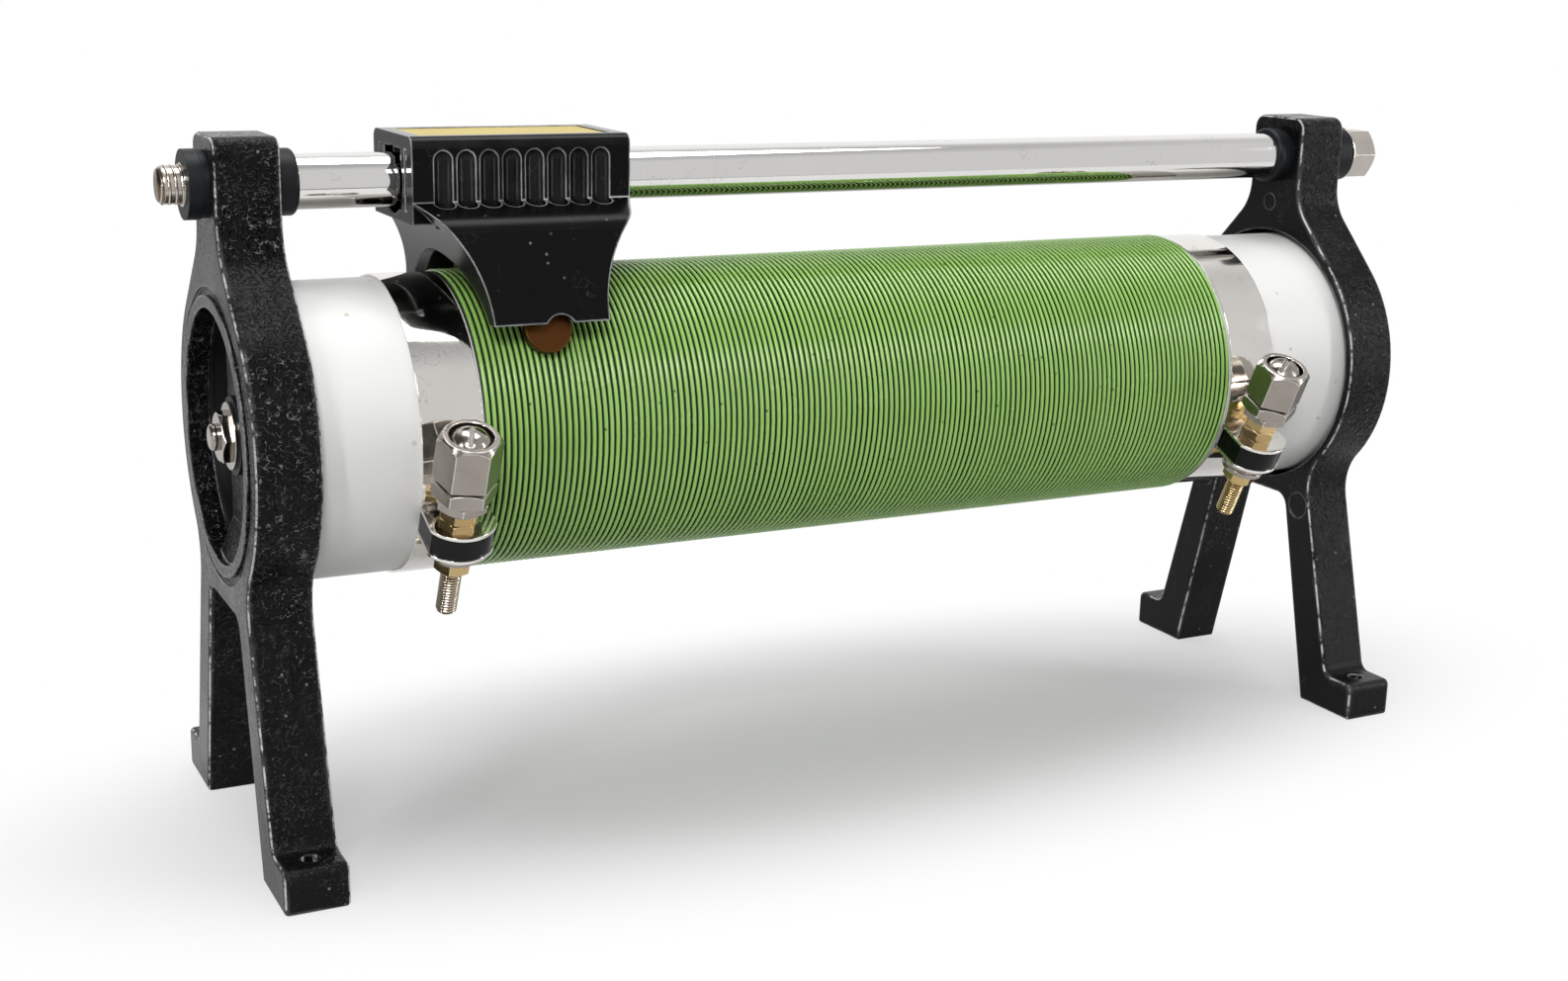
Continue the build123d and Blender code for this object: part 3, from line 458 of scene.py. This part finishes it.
# %% Ceramic tube, gaskets and fibre pieces
def ceramic_finish():
    """White further from the axis than glaze, and dark in the bore."""
    white, whiter = (0.665, 0.665, 0.65), (0.71, 0.71, 0.695)
    speck, bore_dark = (0.45, 0.42, 0.36), (0.012, 0.012, 0.012)
    bore_edge = (32.0 * mm, 32.5 * mm)
    finish = Finish("white_ceramic", Specular_IOR_Level=0.35)
    wear = finish.effect(handling, Speck_scale=300.0, Cloud_scale=22.0)
    outside = finish.over(white, (wear["Cloud"], whiter), (wear["Dust"], speck))
    wall = finish.distance_from_axis(tube_axis_z, *bore_edge)
    # Near black in the bore.
    finish.feed(finish.mix(wall, bore_dark, outside), "Base Color")
    finish.feed(finish.span(wear["Cloud"], 0.3, 0.7, 0.34, 0.48), "Roughness")
    finish.feed(finish.bump(wear["Cloud"], 0.05 * mm, 0.3), "Normal")
    return finish.material


def fibre_finish(name, low, high, rough):
    """A dull black between the colours low and high, a little paler on its edges."""
    worn = (0.05, 0.055, 0.06)
    finish = Finish(name, Roughness=rough, Specular_IOR_Level=0.2)
    wear = finish.effect(handling, Speck_scale=1300.0, Cloud_scale=300.0)
    edges = finish.effect(soft_edges, Radius=0.35 * mm, Gain=5.0)
    finish.feed(finish.over(low, (wear["Cloud"], high), (edges["Edge"], worn)), "Base Color")
    finish.feed(finish.bump(wear["Cloud"], 0.06 * mm, 0.5, edges["Normal"]), "Normal")
    return finish.material


ceramic = ceramic_finish()
fibre = fibre_finish("black_fibre", (0.004, 0.005, 0.0065), (0.0075, 0.009, 0.0115), 0.42)
rubber = fibre_finish("gasket_rubber", (0.02, 0.02, 0.02), (0.03, 0.03, 0.03), 0.7)
glossy_block = fibre_finish("glossy_block", (0.0020, 0.0022, 0.0026), (0.0035, 0.0038, 0.0045),
                            0.14)
print("made:", ceramic.name, fibre.name, rubber.name, glossy_block.name)

# %% [markdown]
# ### Metals
# Plated and turned metal is a mirror with faults: fine lines from the tool, clouds where hands
# have dulled it, and rounder edges with a lighter colour as a painted highlight. A thread's deep
# parts and the rod's underside can be darker, as a painted shade. Each metal could have a
# material of its own, but one function makes every metal here, and only its colour, gloss and
# grain differ.


# %% One function for every metal
def metal_finish(name, colour, dull, rough, lines=(40.0, 2400.0, 2400.0), depth=0.012,
                 edge=0.25, turn=(0.0, 0.0, 0.0), bright=None, groove=None, under=None):
    """A metal that goes from colour to dull, and in roughness between the two in rough.

    lines and turn stretch and turn the tool's marks. Their depth and the edge's radius are in
    millimetres. bright is the edges' colour, a painted highlight; groove the colour of a thread's
    deep parts and under the colour of the underside, both painted shade; without them the metal
    is the same there."""
    finish = Finish(name, Metallic=1.0)
    wear = finish.effect(handling, Speck_scale=1500.0, Line_scale=210.0, Cloud_scale=90.0)
    grain = finish.effect(fine_lines, Stretch=lines, Turn=turn)
    edges = finish.effect(soft_edges, Radius=edge * mm, Gain=9.0)
    # The edges take the bright colour as a painted highlight.
    tone = finish.over(colour, (wear["Cloud"], dull), (edges["Edge"], bright or colour))
    if under is not None:
        # A darker underside, as a painted shade.
        tone = finish.mix(finish.facing("Z", -1.0, 0.40, 0.62), tone, under)
    if groove is not None:
        # Darker deep parts of a thread, as a painted shade.
        tone = finish.mix(finish.outward(0.25, 0.8), groove, tone)
    scratch = tuple(0.55 * channel for channel in dull)
    finish.feed(finish.mix(wear["Scratch"], tone, scratch), "Base Color")
    rougher = math_node(finish.tree, "ADD", finish.span(wear["Cloud"], 0.35, 0.7, *rough),
                        finish.times(wear["Scratch"], 0.15))
    finish.feed(rougher, "Roughness")
    finish.feed(finish.bump(grain["Lines"], depth * mm, 0.6, edges["Normal"]), "Normal")
    return finish.material


nickel_colour, nickel_dull = (0.47, 0.435, 0.395), (0.30, 0.265, 0.23)
# The bright edge colours are painted highlights.
nickel_edge_highlight = (0.98, 0.95, 0.91)
brass_colour, brass_dull = (0.80, 0.60, 0.30), (0.52, 0.36, 0.155)
brass_edge_highlight = (1.0, 0.86, 0.58)
nickel = metal_finish("nickel_plate", nickel_colour, nickel_dull, (0.12, 0.28),
                      edge=0.45, bright=nickel_edge_highlight)
brass = metal_finish("turned_brass", brass_colour, brass_dull, (0.12, 0.26),
                     bright=brass_edge_highlight)
# The chrome's under colour is a painted shade on the rod's underside.
chrome = metal_finish("chrome_plate", (0.93, 0.92, 0.90), (0.87, 0.86, 0.845), (0.03, 0.08),
                      lines=(6.0, 900.0, 900.0), depth=0.004, edge=0.2,
                      under=(0.36, 0.35, 0.325))
steel = metal_finish("turned_steel", (0.66, 0.625, 0.575), (0.48, 0.44, 0.39), (0.14, 0.30),
                     bright=nickel_edge_highlight)
copper = metal_finish("worn_copper", (0.105, 0.042, 0.012), (0.060, 0.024, 0.007),
                      (0.38, 0.55), lines=(260.0, 2600.0, 260.0), depth=0.05,
                      turn=(0.0, 0.8, 0.0), bright=(0.40, 0.22, 0.10))
bronze = metal_finish("spring_bronze", (0.60, 0.40, 0.20), (0.45, 0.28, 0.12), (0.25, 0.40))
polished_band = metal_finish("polished_band", (0.95, 0.925, 0.89), (0.84, 0.81, 0.77),
                             (0.04, 0.12), lines=(2400.0, 40.0, 40.0), depth=0.006,
                             bright=nickel_edge_highlight)
print("metals:", [m.name for m in (nickel, brass, chrome, steel, copper, bronze)])

# %% [markdown]
# ### Moulded slider
# The slider's upper block was moulded in a polished die, so its flutes are glossy. The skirts
# below it came out satin and hold dust. Two meshes would show a seam that the real moulding
# hasn't, so one material changes from one to the other at the height where the skirts begin.
# A light colour on the edges is a painted highlight, and it is mostly left off the end that
# faces left, so that end stays darker.

# %% Slider and label
skirt_top = (151.6 * mm, 152.6 * mm)


def slider_finish():
    black, dark = (0.0008, 0.0008, 0.0010), (0.0024, 0.0024, 0.0028)
    dust, edge = (0.14, 0.14, 0.145), (0.72, 0.72, 0.725)
    finish = Finish("black_phenolic", Specular_IOR_Level=0.12)
    wear = finish.effect(handling, Speck_scale=560.0, Line_scale=130.0, Cloud_scale=70.0)
    edges = finish.effect(soft_edges, Radius=0.6 * mm, Gain=12.0)
    upper = finish.height_above(*skirt_top)
    end_face = finish.facing("X", -1.0, 0.80, 0.95)
    specks = finish.times(wear["Dust"], finish.span(upper, 0.0, 1.0, 1.0, 0.10))
    lines = finish.times(wear["Scratch"], 0.30)
    # Painted highlight on the edges, mostly left off the end that faces left.
    edge_glint = finish.times(edges["Edge"], finish.span(wear["Cloud"], 0.35, 0.6, 0.35, 1.0),
                          finish.span(end_face, 0.0, 1.0, 1.0, 0.12))
    colour = finish.over(black, (wear["Cloud"], dark), (finish.larger(specks, lines), dust),
                         (edge_glint, edge))
    finish.feed(colour, "Base Color")
    finish.feed(finish.span(upper, 0.0, 1.0, 0.28, 0.06), "Roughness")
    finish.feed(finish.bump(wear["Cloud"], 0.04 * mm, 0.4, edges["Normal"]), "Normal")
    return finish.material


def label_finish():
    yellow, paler, scratch = (0.50, 0.37, 0.030), (0.57, 0.44, 0.055), (0.35, 0.24, 0.03)
    finish = Finish("yellow_foil", Roughness=0.35)
    wear = finish.effect(handling, Speck_scale=700.0, Line_scale=260.0)
    colour = finish.over(yellow, (wear["Cloud"], paler), (wear["Scratch"], scratch))
    finish.feed(colour, "Base Color")
    finish.feed(finish.bump(wear["Cloud"], 0.05 * mm, 0.4), "Normal")
    return finish.material


phenolic, foil = slider_finish(), label_finish()
print("made:", phenolic.name, foil.name)

# %% [markdown]
# ### Enamelled wire
# The resistance wire has a clear green enamel that is bright on top of each turn and nearly
# black in the gap between two. Shadows alone leave the gaps too pale in a small render, so the
# mesh stores how far out each point lies, and the colour falls off with it.


# %% Wire, and the dark sleeve of painted shade under it
def wire_finish():
    deep, dust = (0.007, 0.018, 0.003), (0.07, 0.14, 0.03)
    green, light, drawn_out = (0.200, 0.400, 0.078), (0.300, 0.530, 0.130), (0.270, 0.50, 0.110)
    finish = Finish("green_wire", Specular_IOR_Level=0.7)
    wear = finish.effect(handling, Speck_scale=500.0, Line_scale=60.0, Cloud_scale=55.0)
    drawn = finish.effect(fine_lines, Stretch=(900.0, 60.0, 60.0))
    crown = finish.over(green, (wear["Cloud"], light),
                        (finish.span(drawn["Lines"], 0.35, 0.65, 0.0, 1.0), drawn_out),
                        (wear["Dust"], dust))
    # Towards the gaps the colour falls to deep, a painted shade.
    finish.feed(finish.mix(finish.outward(0.42, 0.97), deep, crown), "Base Color")
    finish.feed(finish.span(wear["Cloud"], 0.3, 0.7, 0.16, 0.30), "Roughness")
    return finish.material


def gap_shade_finish():
    # A painted shade that stands for the shadow between the turns.
    low, high = (0.006, 0.012, 0.003), (0.014, 0.026, 0.007)
    finish = Finish("gap_shade", Roughness=0.7)
    wear = finish.effect(handling, Cloud_scale=200.0)
    finish.feed(finish.mix(wear["Cloud"], low, high), "Base Color")
    return finish.material


green_wire, gap_shade = wire_finish(), gap_shade_finish()
print("made:", green_wire.name, gap_shade.name)

# %% [markdown]
# ### Which finish goes where
# The frame gives each node a material slot, so a table from slot to finish dresses all of them
# in one loop. Two kinds of piece are finer than their slot: the bands are polished more than
# the nuts, and the blocks in the lugs shine more than the fibre at the rod.

# %% Finish of each material slot
finishes = {
    "frame_enamel": enamel,
    "ceramic_white": ceramic,
    "gasket_rubber": rubber,
    "winding_wire": green_wire,
    "nickel": nickel,
    "brass": brass,
    "bushing_black": fibre,
    "chrome_rod": chrome,
    "bolt_steel": steel,
    "slider_plastic": phenolic,
    "label_yellow": foil,
    "contact_copper": copper,
    "spring_bronze": bronze,
}
for node, piece in frame["nodes"].items():
    piece.data.materials.clear()
    piece.data.materials.append(finishes[slot_of[node]])
for side_name in ("left", "right"):
    frame["nodes"][f"{side_name}_terminal_band"].data.materials[0] = polished_band
    frame["nodes"][f"{side_name}_lug_insulator"].data.materials[0] = glossy_block
print("finishes:", len(finishes))

# %% [markdown]
# ## How a piece becomes a mesh
# The wire and the threads are new meshes. Each is a sheet of points on a grid: one direction
# runs round a section, the other along a path. Curves or modifiers could make them too, but
# here the whole grid is worked out as one numpy array and handed to Blender at once, which is
# quick even for the long winding, and the same helper serves all of them.


# %% A grid of points becomes a named piece
def sheet_mesh(name, points, body, material):
    """Quads between neighbours of points[i, j], with the last column joined to the first."""
    rows, columns = points.shape[:2]
    index = np.arange(rows * columns).reshape(rows, columns)
    index = np.concatenate([index, index[:, :1]], axis=1)
    quads = np.stack([index[:-1, :-1], index[:-1, 1:], index[1:, 1:], index[1:, :-1]], axis=-1)
    quads = quads.reshape(-1, 4)
    mesh = bpy.data.meshes.new(name)
    mesh.vertices.add(rows * columns)
    mesh.vertices.foreach_set("co", points.reshape(-1).astype(np.float32))
    mesh.loops.add(quads.size)
    mesh.loops.foreach_set("vertex_index", quads.reshape(-1).astype(np.int32))
    mesh.polygons.add(len(quads))
    mesh.polygons.foreach_set("loop_start", (np.arange(len(quads)) * 4).astype(np.int32))
    mesh.update(calc_edges=True)
    mesh.validate()
    mesh.polygons.foreach_set("use_smooth", np.ones(len(mesh.polygons), bool))
    piece = bpy.data.objects.new(name, mesh)
    scene.collection.objects.link(piece)
    piece.data.materials.append(material)
    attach(piece, body)
    return piece


def mark_depth(piece, values):
    """Store a number from 0, deep, to 1, outermost, at each point for a finish to read."""
    layer = piece.data.attributes.new("outward", "FLOAT", "POINT")
    layer.data.foreach_set("value", np.clip(values, 0, 1).reshape(-1).astype(np.float32))


print("helpers for meshes: sheet_mesh, mark_depth")

# %% [markdown]
# ## The winding
# About 140 turns of round wire lie side by side on the tube with a small gap. A drawn pattern
# of stripes would look flat at the tube's edge, so the wire is one real helix: a small ring of
# points carried along the screw line. A little waviness keeps the turns from looking ruled.

# %% Sizes of the winding
winding_low, winding_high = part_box("resistance_winding")
wire_radius = 0.55 * mm
wire_pitch = 1.5 * mm
steps_per_turn = 60
wire_sides = 8
coil_radius = winding_high.z - tube_axis_z - wire_radius
turns = (winding_high.x - winding_low.x - 2 * wire_radius) / wire_pitch
slow_sway, quick_sway, bunch_sway = 0.07 * mm, 0.04 * mm, 0.55 * mm
bunch_x, bunch_angle = -83.0 * mm, -1.0
bunch_length, bunch_spread = 4 * mm, 0.22
still_length = 3 * mm
print("turns:", round(turns, 1), "on a radius of", round(coil_radius / mm, 2), "mm")


# %% Wire as a helix
def turn_sway(x, angle):
    """Sideways shift of the wire: slow and quick waves along the coil, in radians per metre,
    and a place where the turns bunch up."""
    slow = np.sin(x * 310 + 1.3 * np.sin(angle)) * np.sin(x * 97 + 2 * np.cos(angle))
    quick = np.sin(x * 2093 + 3 * angle) * np.sin(angle * 0.37)
    across = (x - bunch_x) / bunch_length
    round_tube = np.angle(np.exp(1j * (angle - bunch_angle))) / bunch_spread
    bunch = -across * np.exp(-across ** 2 - round_tube ** 2)
    return slow_sway * slow + quick_sway * quick + bunch_sway * bunch


def coiled_wire():
    """Ring of wire_sides points round a screw line: angle grows by 2 pi a turn, x by a pitch.
    The sway dies out at both ends, where the bands hold the wire still."""
    along = np.linspace(0.0, turns, int(turns * steps_per_turn) + 1)
    angle = 2 * np.pi * along + math.pi
    start = winding_low.x + wire_radius
    x = start + wire_pitch * along
    free = np.clip(np.minimum(x - winding_low.x, winding_high.x - x) / still_length, 0, 1)
    x = x + turn_sway(x, angle) * free
    side = np.linspace(0, 2 * np.pi, wire_sides, endpoint=False)
    reach = coil_radius + wire_radius * np.cos(side)[None, :]
    across = wire_radius * np.sin(side)[None, :]
    points = np.empty((len(along), wire_sides, 3))
    points[..., 0] = x[:, None] + across
    points[..., 1] = reach * np.sin(angle)[:, None]
    points[..., 2] = tube_axis_z + reach * np.cos(angle)[:, None]
    return points


winding = sheet_mesh("resistance_wire", coiled_wire(), "root", green_wire)
round_wire = 0.5 + 0.5 * np.cos(np.linspace(0, 2 * np.pi, wire_sides, endpoint=False))
mark_depth(winding, np.tile(round_wire, len(winding.data.vertices) // wire_sides))
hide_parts("resistance_winding")
print("wire triangles:", 2 * len(winding.data.polygons))

# %% [markdown]
# Between two turns the white tube doesn't show through, because shadow fills the gap. Darker
# paint on the tube would need a mask, so a thin dark sleeve under the wire does it here. It is
# closed, so that it stays a sound mesh, and it ends a little inside the winding.


# %% Dark sleeve of painted shade that shows between the turns
def tube_skin(x_start, x_end, radius, wall, columns=96):
    """Thin closed sleeve: out along radius, back along one that is smaller by the wall."""
    angle = np.linspace(0, 2 * np.pi, columns, endpoint=False)[None, :]
    x = np.array([x_start, x_start, x_end, x_end, x_start])[:, None]
    inner = radius - wall
    reach = np.array([inner, radius, radius, inner, inner])[:, None]
    return np.stack([x + 0 * angle, reach * np.sin(angle), tube_axis_z + reach * np.cos(angle)],
                    axis=-1)


bed_inset, bed_height, bed_wall = 0.3 * mm, 0.16 * mm, 0.05 * mm
bed = sheet_mesh("gap_shade_sleeve",
                 tube_skin(winding_low.x + bed_inset, winding_high.x - bed_inset,
                           tube_radius + bed_height, bed_wall),
                 "root", gap_shade)
print("bed faces:", len(bed.data.polygons))

# %% [markdown]
# ## Threads
# A thread is a screw-shaped surface: its radius rises and falls with the distance along the
# axis, shifted by one pitch for each turn. A bump could draw it, but the outline would stay
# smooth, and a thread shows most there. The same function makes the studs' and the bolt's.


# %% A threaded rod about any axis
def threaded(start, axis, length, radius, pitch, depth, tip, columns=40, per_pitch=8):
    """Radius = crest - depth * (distance from the nearest crest); both ends are closed.

    start is the free end, axis points into the object, and tip is the length of its cone.
    The power under 1 makes the crests narrower than the grooves."""
    rows = int(length / pitch * per_pitch) + 1
    along = np.linspace(0, length, rows)[:, None]
    turn = np.linspace(0, 1, columns, endpoint=False)[None, :]
    phase = np.mod(along / pitch - turn, 1.0)
    wave = 0.5 - 0.5 * np.cos(2 * np.pi * phase)
    reach = radius - depth * wave ** 0.8
    cone = radius - tip + np.minimum(along, tip)
    reach = np.minimum(reach, cone)
    zero, tiny = np.zeros((1, columns)), 1e-6
    reach = np.concatenate([zero + tiny, reach, zero + tiny])
    along = np.concatenate([zero, along + 0 * turn, zero + length])
    axis = Vector(axis).normalized()
    side = axis.orthogonal().normalized()
    other = axis.cross(side)
    angle = 2 * np.pi * turn
    return (np.array(start)[None, None, :] + along[..., None] * np.array(axis)
            + (reach * np.cos(angle))[..., None] * np.array(side)
            + (reach * np.sin(angle))[..., None] * np.array(other))


def mark_thread(piece, axis, radius, depth):
    """Outward mark of a thread: 1 at radius, on the crest, and 0 at this depth under it."""
    place = np.empty(3 * len(piece.data.vertices))
    piece.data.vertices.foreach_get("co", place)
    place = place.reshape(-1, 3)
    axis = np.array(axis) / np.linalg.norm(axis)
    place -= place.mean(axis=0)
    across = place - (place @ axis)[:, None] * axis
    mark_depth(piece, (np.linalg.norm(across, axis=1) - radius + depth) / depth)


# The groove colours are painted shade in the threads' deep parts.
thread_finishes = {
    "nickel": metal_finish("nickel_thread", (0.80, 0.72, 0.60), (0.62, 0.54, 0.42),
                           (0.14, 0.26), edge=0.03, groove=(0.07, 0.045, 0.025)),
    "brass": metal_finish("brass_thread", (0.90, 0.72, 0.42), brass_colour, (0.14, 0.26),
                          edge=0.03, groove=(0.12, 0.07, 0.025)),
    "bolt_steel": metal_finish("steel_thread", (0.80, 0.75, 0.69), (0.62, 0.55, 0.47),
                               (0.14, 0.26), edge=0.03, groove=(0.16, 0.10, 0.05)),
}
print("thread finishes:", list(thread_finishes))

# %% [markdown]
# The studs lean, as the lugs do, and each is on the axis about which its nut turns. That axis
# comes from the frame's joint. The box of the solid stud gives the ends: its lowest point is
# on the rim of the free end, and its highest is on the rim of the top.

# %% Stud threads
stud_radius, stud_pitch, stud_depth, stud_cone = 2.5 * mm, 0.8 * mm, 0.42 * mm, 0.7 * mm
stud_end_radius = 1.85 * mm
joint = {j["name"]: j for j in frame["joints"]}
for side_name in ("left", "right"):
    turn_joint = joint[f"{side_name}_nut_turn"]
    lean = Vector(turn_joint["axis"]).normalized()
    middle = Vector(turn_joint["pos_m"])
    low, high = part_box(f"{side_name}_terminal_stud")
    tip_z = low.z + stud_end_radius * abs(lean.y)
    top_z = high.z - stud_radius * abs(lean.y)
    tip_point = middle + lean * ((tip_z - middle.z) / lean.z)
    top_point = middle + lean * ((top_z - middle.z) / lean.z)
    slot = slot_of[f"{side_name}_terminal_stud"]
    stud = sheet_mesh(f"{side_name}_stud_thread",
                      threaded(tip_point, lean, (top_point - tip_point).length, stud_radius,
                               stud_pitch, stud_depth, stud_cone),
                      "root", thread_finishes[slot])
    mark_thread(stud, lean, stud_radius, stud_depth)
    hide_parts(f"{side_name}_terminal_stud")
    print(stud.name, "length", round((top_point - tip_point).length / mm, 1), "mm")

# %% [markdown]
# The rod's bolt shows its thread only at its left end, as far as the insert in the bush. The
# solid bolt stays, and a threaded sleeve lies just over that end of it.

# %% Bolt thread
bolt_low, bolt_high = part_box("rod_bolt")
rod_axis_z = (bolt_low.z + bolt_high.z) / 2
thread_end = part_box("left_bush_insert")[0].x
bolt_tip = bolt_low.x - 0.02 * mm
bolt_crest, bolt_pitch, bolt_depth, bolt_cone = 4.55 * mm, 1.5 * mm, 0.5 * mm, 1.0 * mm
dark_from = 0.35 * mm
bolt_thread = sheet_mesh("rod_bolt_thread",
                         threaded((bolt_tip, 0.0, rod_axis_z), (1, 0, 0),
                                  thread_end - bolt_tip, bolt_crest, bolt_pitch, bolt_depth,
                                  bolt_cone),
                         "root", thread_finishes["bolt_steel"])
mark_thread(bolt_thread, (1, 0, 0), bolt_crest, dark_from)
print("bolt thread faces:", len(bolt_thread.data.polygons))

# %% [markdown]
# ## Camera
# The camera stands where the fit of the photograph puts it: low on the left, looking along the
# tube. Moving it by eye would need many tries, and the fit gives place, angles and focal
# length at once. Its shift is as small as the frame of the picture needs.

# %% Camera from the fitted angles
camera_place = Vector((-256.289, -472.201, 207.621)) * mm
azimuth, elevation, roll = -0.478, 0.252, 0.023
focal_pixels, centre_x, centre_y = 2093.263, 795.8, 498.9
picture_width, picture_height = 1586, 992
sensor_width = 36.0
back = Vector((math.sin(azimuth) * math.cos(elevation),
               -math.cos(azimuth) * math.cos(elevation), math.sin(elevation)))
right = Vector((0, 0, 1)).cross(back).normalized()
up = back.cross(right)
right_rolled = right * math.cos(roll) + up * math.sin(roll)
up_rolled = up * math.cos(roll) - right * math.sin(roll)
camera_data = bpy.data.cameras.new("camera")
camera_data.sensor_width = sensor_width
camera_data.lens = focal_pixels * sensor_width / picture_width
camera_data.shift_x = -(centre_x - picture_width / 2) / picture_width
camera_data.shift_y = (centre_y - picture_height / 2) / picture_width
camera_data.clip_start = 0.01
camera = bpy.data.objects.new("camera", camera_data)
camera.matrix_world = Matrix((
    (right_rolled.x, up_rolled.x, back.x, camera_place.x),
    (right_rolled.y, up_rolled.y, back.y, camera_place.y),
    (right_rolled.z, up_rolled.z, back.z, camera_place.z),
    (0, 0, 0, 1)))
scene.collection.objects.link(camera)
bpy.context.scene.camera = camera
print("lens:", round(camera_data.lens, 2), "mm")

# %% [markdown]
# ## Floor and light
# The photograph stands on white with a soft grey shadow. A white wall behind would need extra
# light that bleaches the object. Instead the floor is a pale sheet that runs to plain white
# away from the object, only for the rays that see or mirror it. It ends in front between the
# object and the camera, so that polished metal mirrors the darker studio under its edge.

# %% Floor
white = (1.0, 1.0, 1.0, 1.0)
floor_grey = (0.52, 0.52, 0.52, 1)
shadow_length, shadow_width = 0.20, 0.080
mirrored_glow = 0.45
floor_front, floor_reach = -0.27, 3


def floor_finish():
    """Grey inside an ellipse round the object, a painted shadow around the rendered one, and white outside it."""
    material = bpy.data.materials.new("pale_floor")
    material.use_nodes = True
    tree = material.node_tree
    tree.nodes.clear()
    out = tree.nodes.new("ShaderNodeOutputMaterial")
    diffuse = tree.nodes.new("ShaderNodeBsdfDiffuse")
    diffuse.inputs["Color"].default_value = floor_grey
    glow = tree.nodes.new("ShaderNodeEmission")
    glow.inputs["Color"].default_value = white
    paths = tree.nodes.new("ShaderNodeLightPath").outputs
    ellipse = vector_math(tree, "MULTIPLY", object_place(tree),
                          (1 / shadow_length, 1 / shadow_width, 0.0))
    # Near the object the floor stays grey, a painted shadow; it turns white further out.
    far = ramp(tree, vector_math(tree, "LENGTH", ellipse), 0.45, 1.30, 0.18, 1.0)
    mirrored = product(tree, paths["Is Glossy Ray"], mirrored_glow)
    seen = math_node(tree, "MAXIMUM", paths["Is Camera Ray"], mirrored)
    seen = math_node(tree, "MAXIMUM", seen, paths["Is Transmission Ray"])
    both = tree.nodes.new("ShaderNodeMixShader")
    tree.links.new(product(tree, far, seen), both.inputs["Fac"])
    tree.links.new(diffuse.outputs[0], both.inputs[1])
    tree.links.new(glow.outputs[0], both.inputs[2])
    tree.links.new(both.outputs[0], out.inputs["Surface"])
    return material


floor_corners = [(-floor_reach, floor_front, 0), (floor_reach, floor_front, 0),
                 (-floor_reach, floor_reach, 0), (floor_reach, floor_reach, 0)]
floor_mesh = bpy.data.meshes.new("floor")
floor_mesh.from_pydata(floor_corners, [], [(0, 1, 3, 2)])
floor = bpy.data.objects.new("floor", floor_mesh)
floor.data.materials.append(floor_finish())
scene.collection.objects.link(floor)
print("floor ends", round(-floor_front, 2), "m in front of the object's middle")

# %% [markdown]
# Metal shows what is round it, and polished plate in an even white room would look like paper.
# So glossy rays see a soft studio instead: bright in front and behind, grey overhead, and dark
# on the left and below. The camera still sees plain white.


# %% World
def studio_world():
    """White where it is seen, dim as a light, and a studio in shades of grey where mirrored."""
    world = bpy.data.worlds.new("studio")
    world.use_nodes = True
    tree = world.node_tree
    tree.nodes.clear()
    out = tree.nodes.new("ShaderNodeOutputWorld")
    paths = tree.nodes.new("ShaderNodeLightPath").outputs
    way = components(tree, tree.nodes.new("ShaderNodeTexCoord").outputs["Generated"])
    above = ramp(tree, way["Z"], -0.06, 0.10, 0.08, 0.62)
    front = ramp(tree, way["Z"], -0.50, -0.40, 0.05, 0.64)
    left = ramp(tree, way["X"], -0.50, -0.15, 0.12, 1.0)
    overhead = ramp(tree, way["Z"], 0.70, 0.97, 1.0, 0.55)
    behind = ramp(tree, way["Y"], 0.0, 0.5, 1.0, 1.45)
    mirrored = product(tree, product(tree, front, overhead), product(tree, behind, left))
    lit = product(tree, above, 0.62)
    strength = mixed(tree, "FLOAT", paths["Is Glossy Ray"], lit, mirrored)
    plain = math_node(tree, "MAXIMUM", paths["Is Camera Ray"], paths["Is Transmission Ray"])
    background = tree.nodes.new("ShaderNodeBackground")
    background.inputs["Color"].default_value = white
    tree.links.new(mixed(tree, "FLOAT", plain, strength, 1.0), background.inputs["Strength"])
    tree.links.new(background.outputs[0], out.inputs["Surface"])
    bpy.context.scene.world = world


studio_world()
print("world:", scene.world.name)

# %% [markdown]
# Four lamps are enough: a key from the front left, a wide one overhead for the soft shadow, and
# a tall strip on each side, which draws the thin bright lines on the flutes and the nuts.


# %% Lamps
def softbox(name, place, aim, width, height, watts):
    """An area lamp at place that looks at aim."""
    data = bpy.data.lights.new(name, "AREA")
    data.shape = "RECTANGLE"
    data.size, data.size_y = width, height
    data.energy = watts
    lamp = bpy.data.objects.new(name, data)
    lamp.location = place
    lamp.rotation_euler = (Vector(aim) - Vector(place)).to_track_quat("-Z", "Y").to_euler()
    scene.collection.objects.link(lamp)


softbox("key", (-0.50, -1.00, 0.95), (0, 0, 0.09), 0.45, 0.35, 10.0)
softbox("top", (0.10, 0.12, 1.20), (0, 0, 0.1), 1.0, 0.5, 8.0)
softbox("left strip", (-1.05, -0.55, 0.40), (-0.05, 0, 0.12), 0.05, 0.9, 3.6)
softbox("right strip", (1.05, -0.75, 0.35), (0.05, 0, 0.12), 0.05, 0.9, 3.6)
scene.view_settings.view_transform = "Standard"
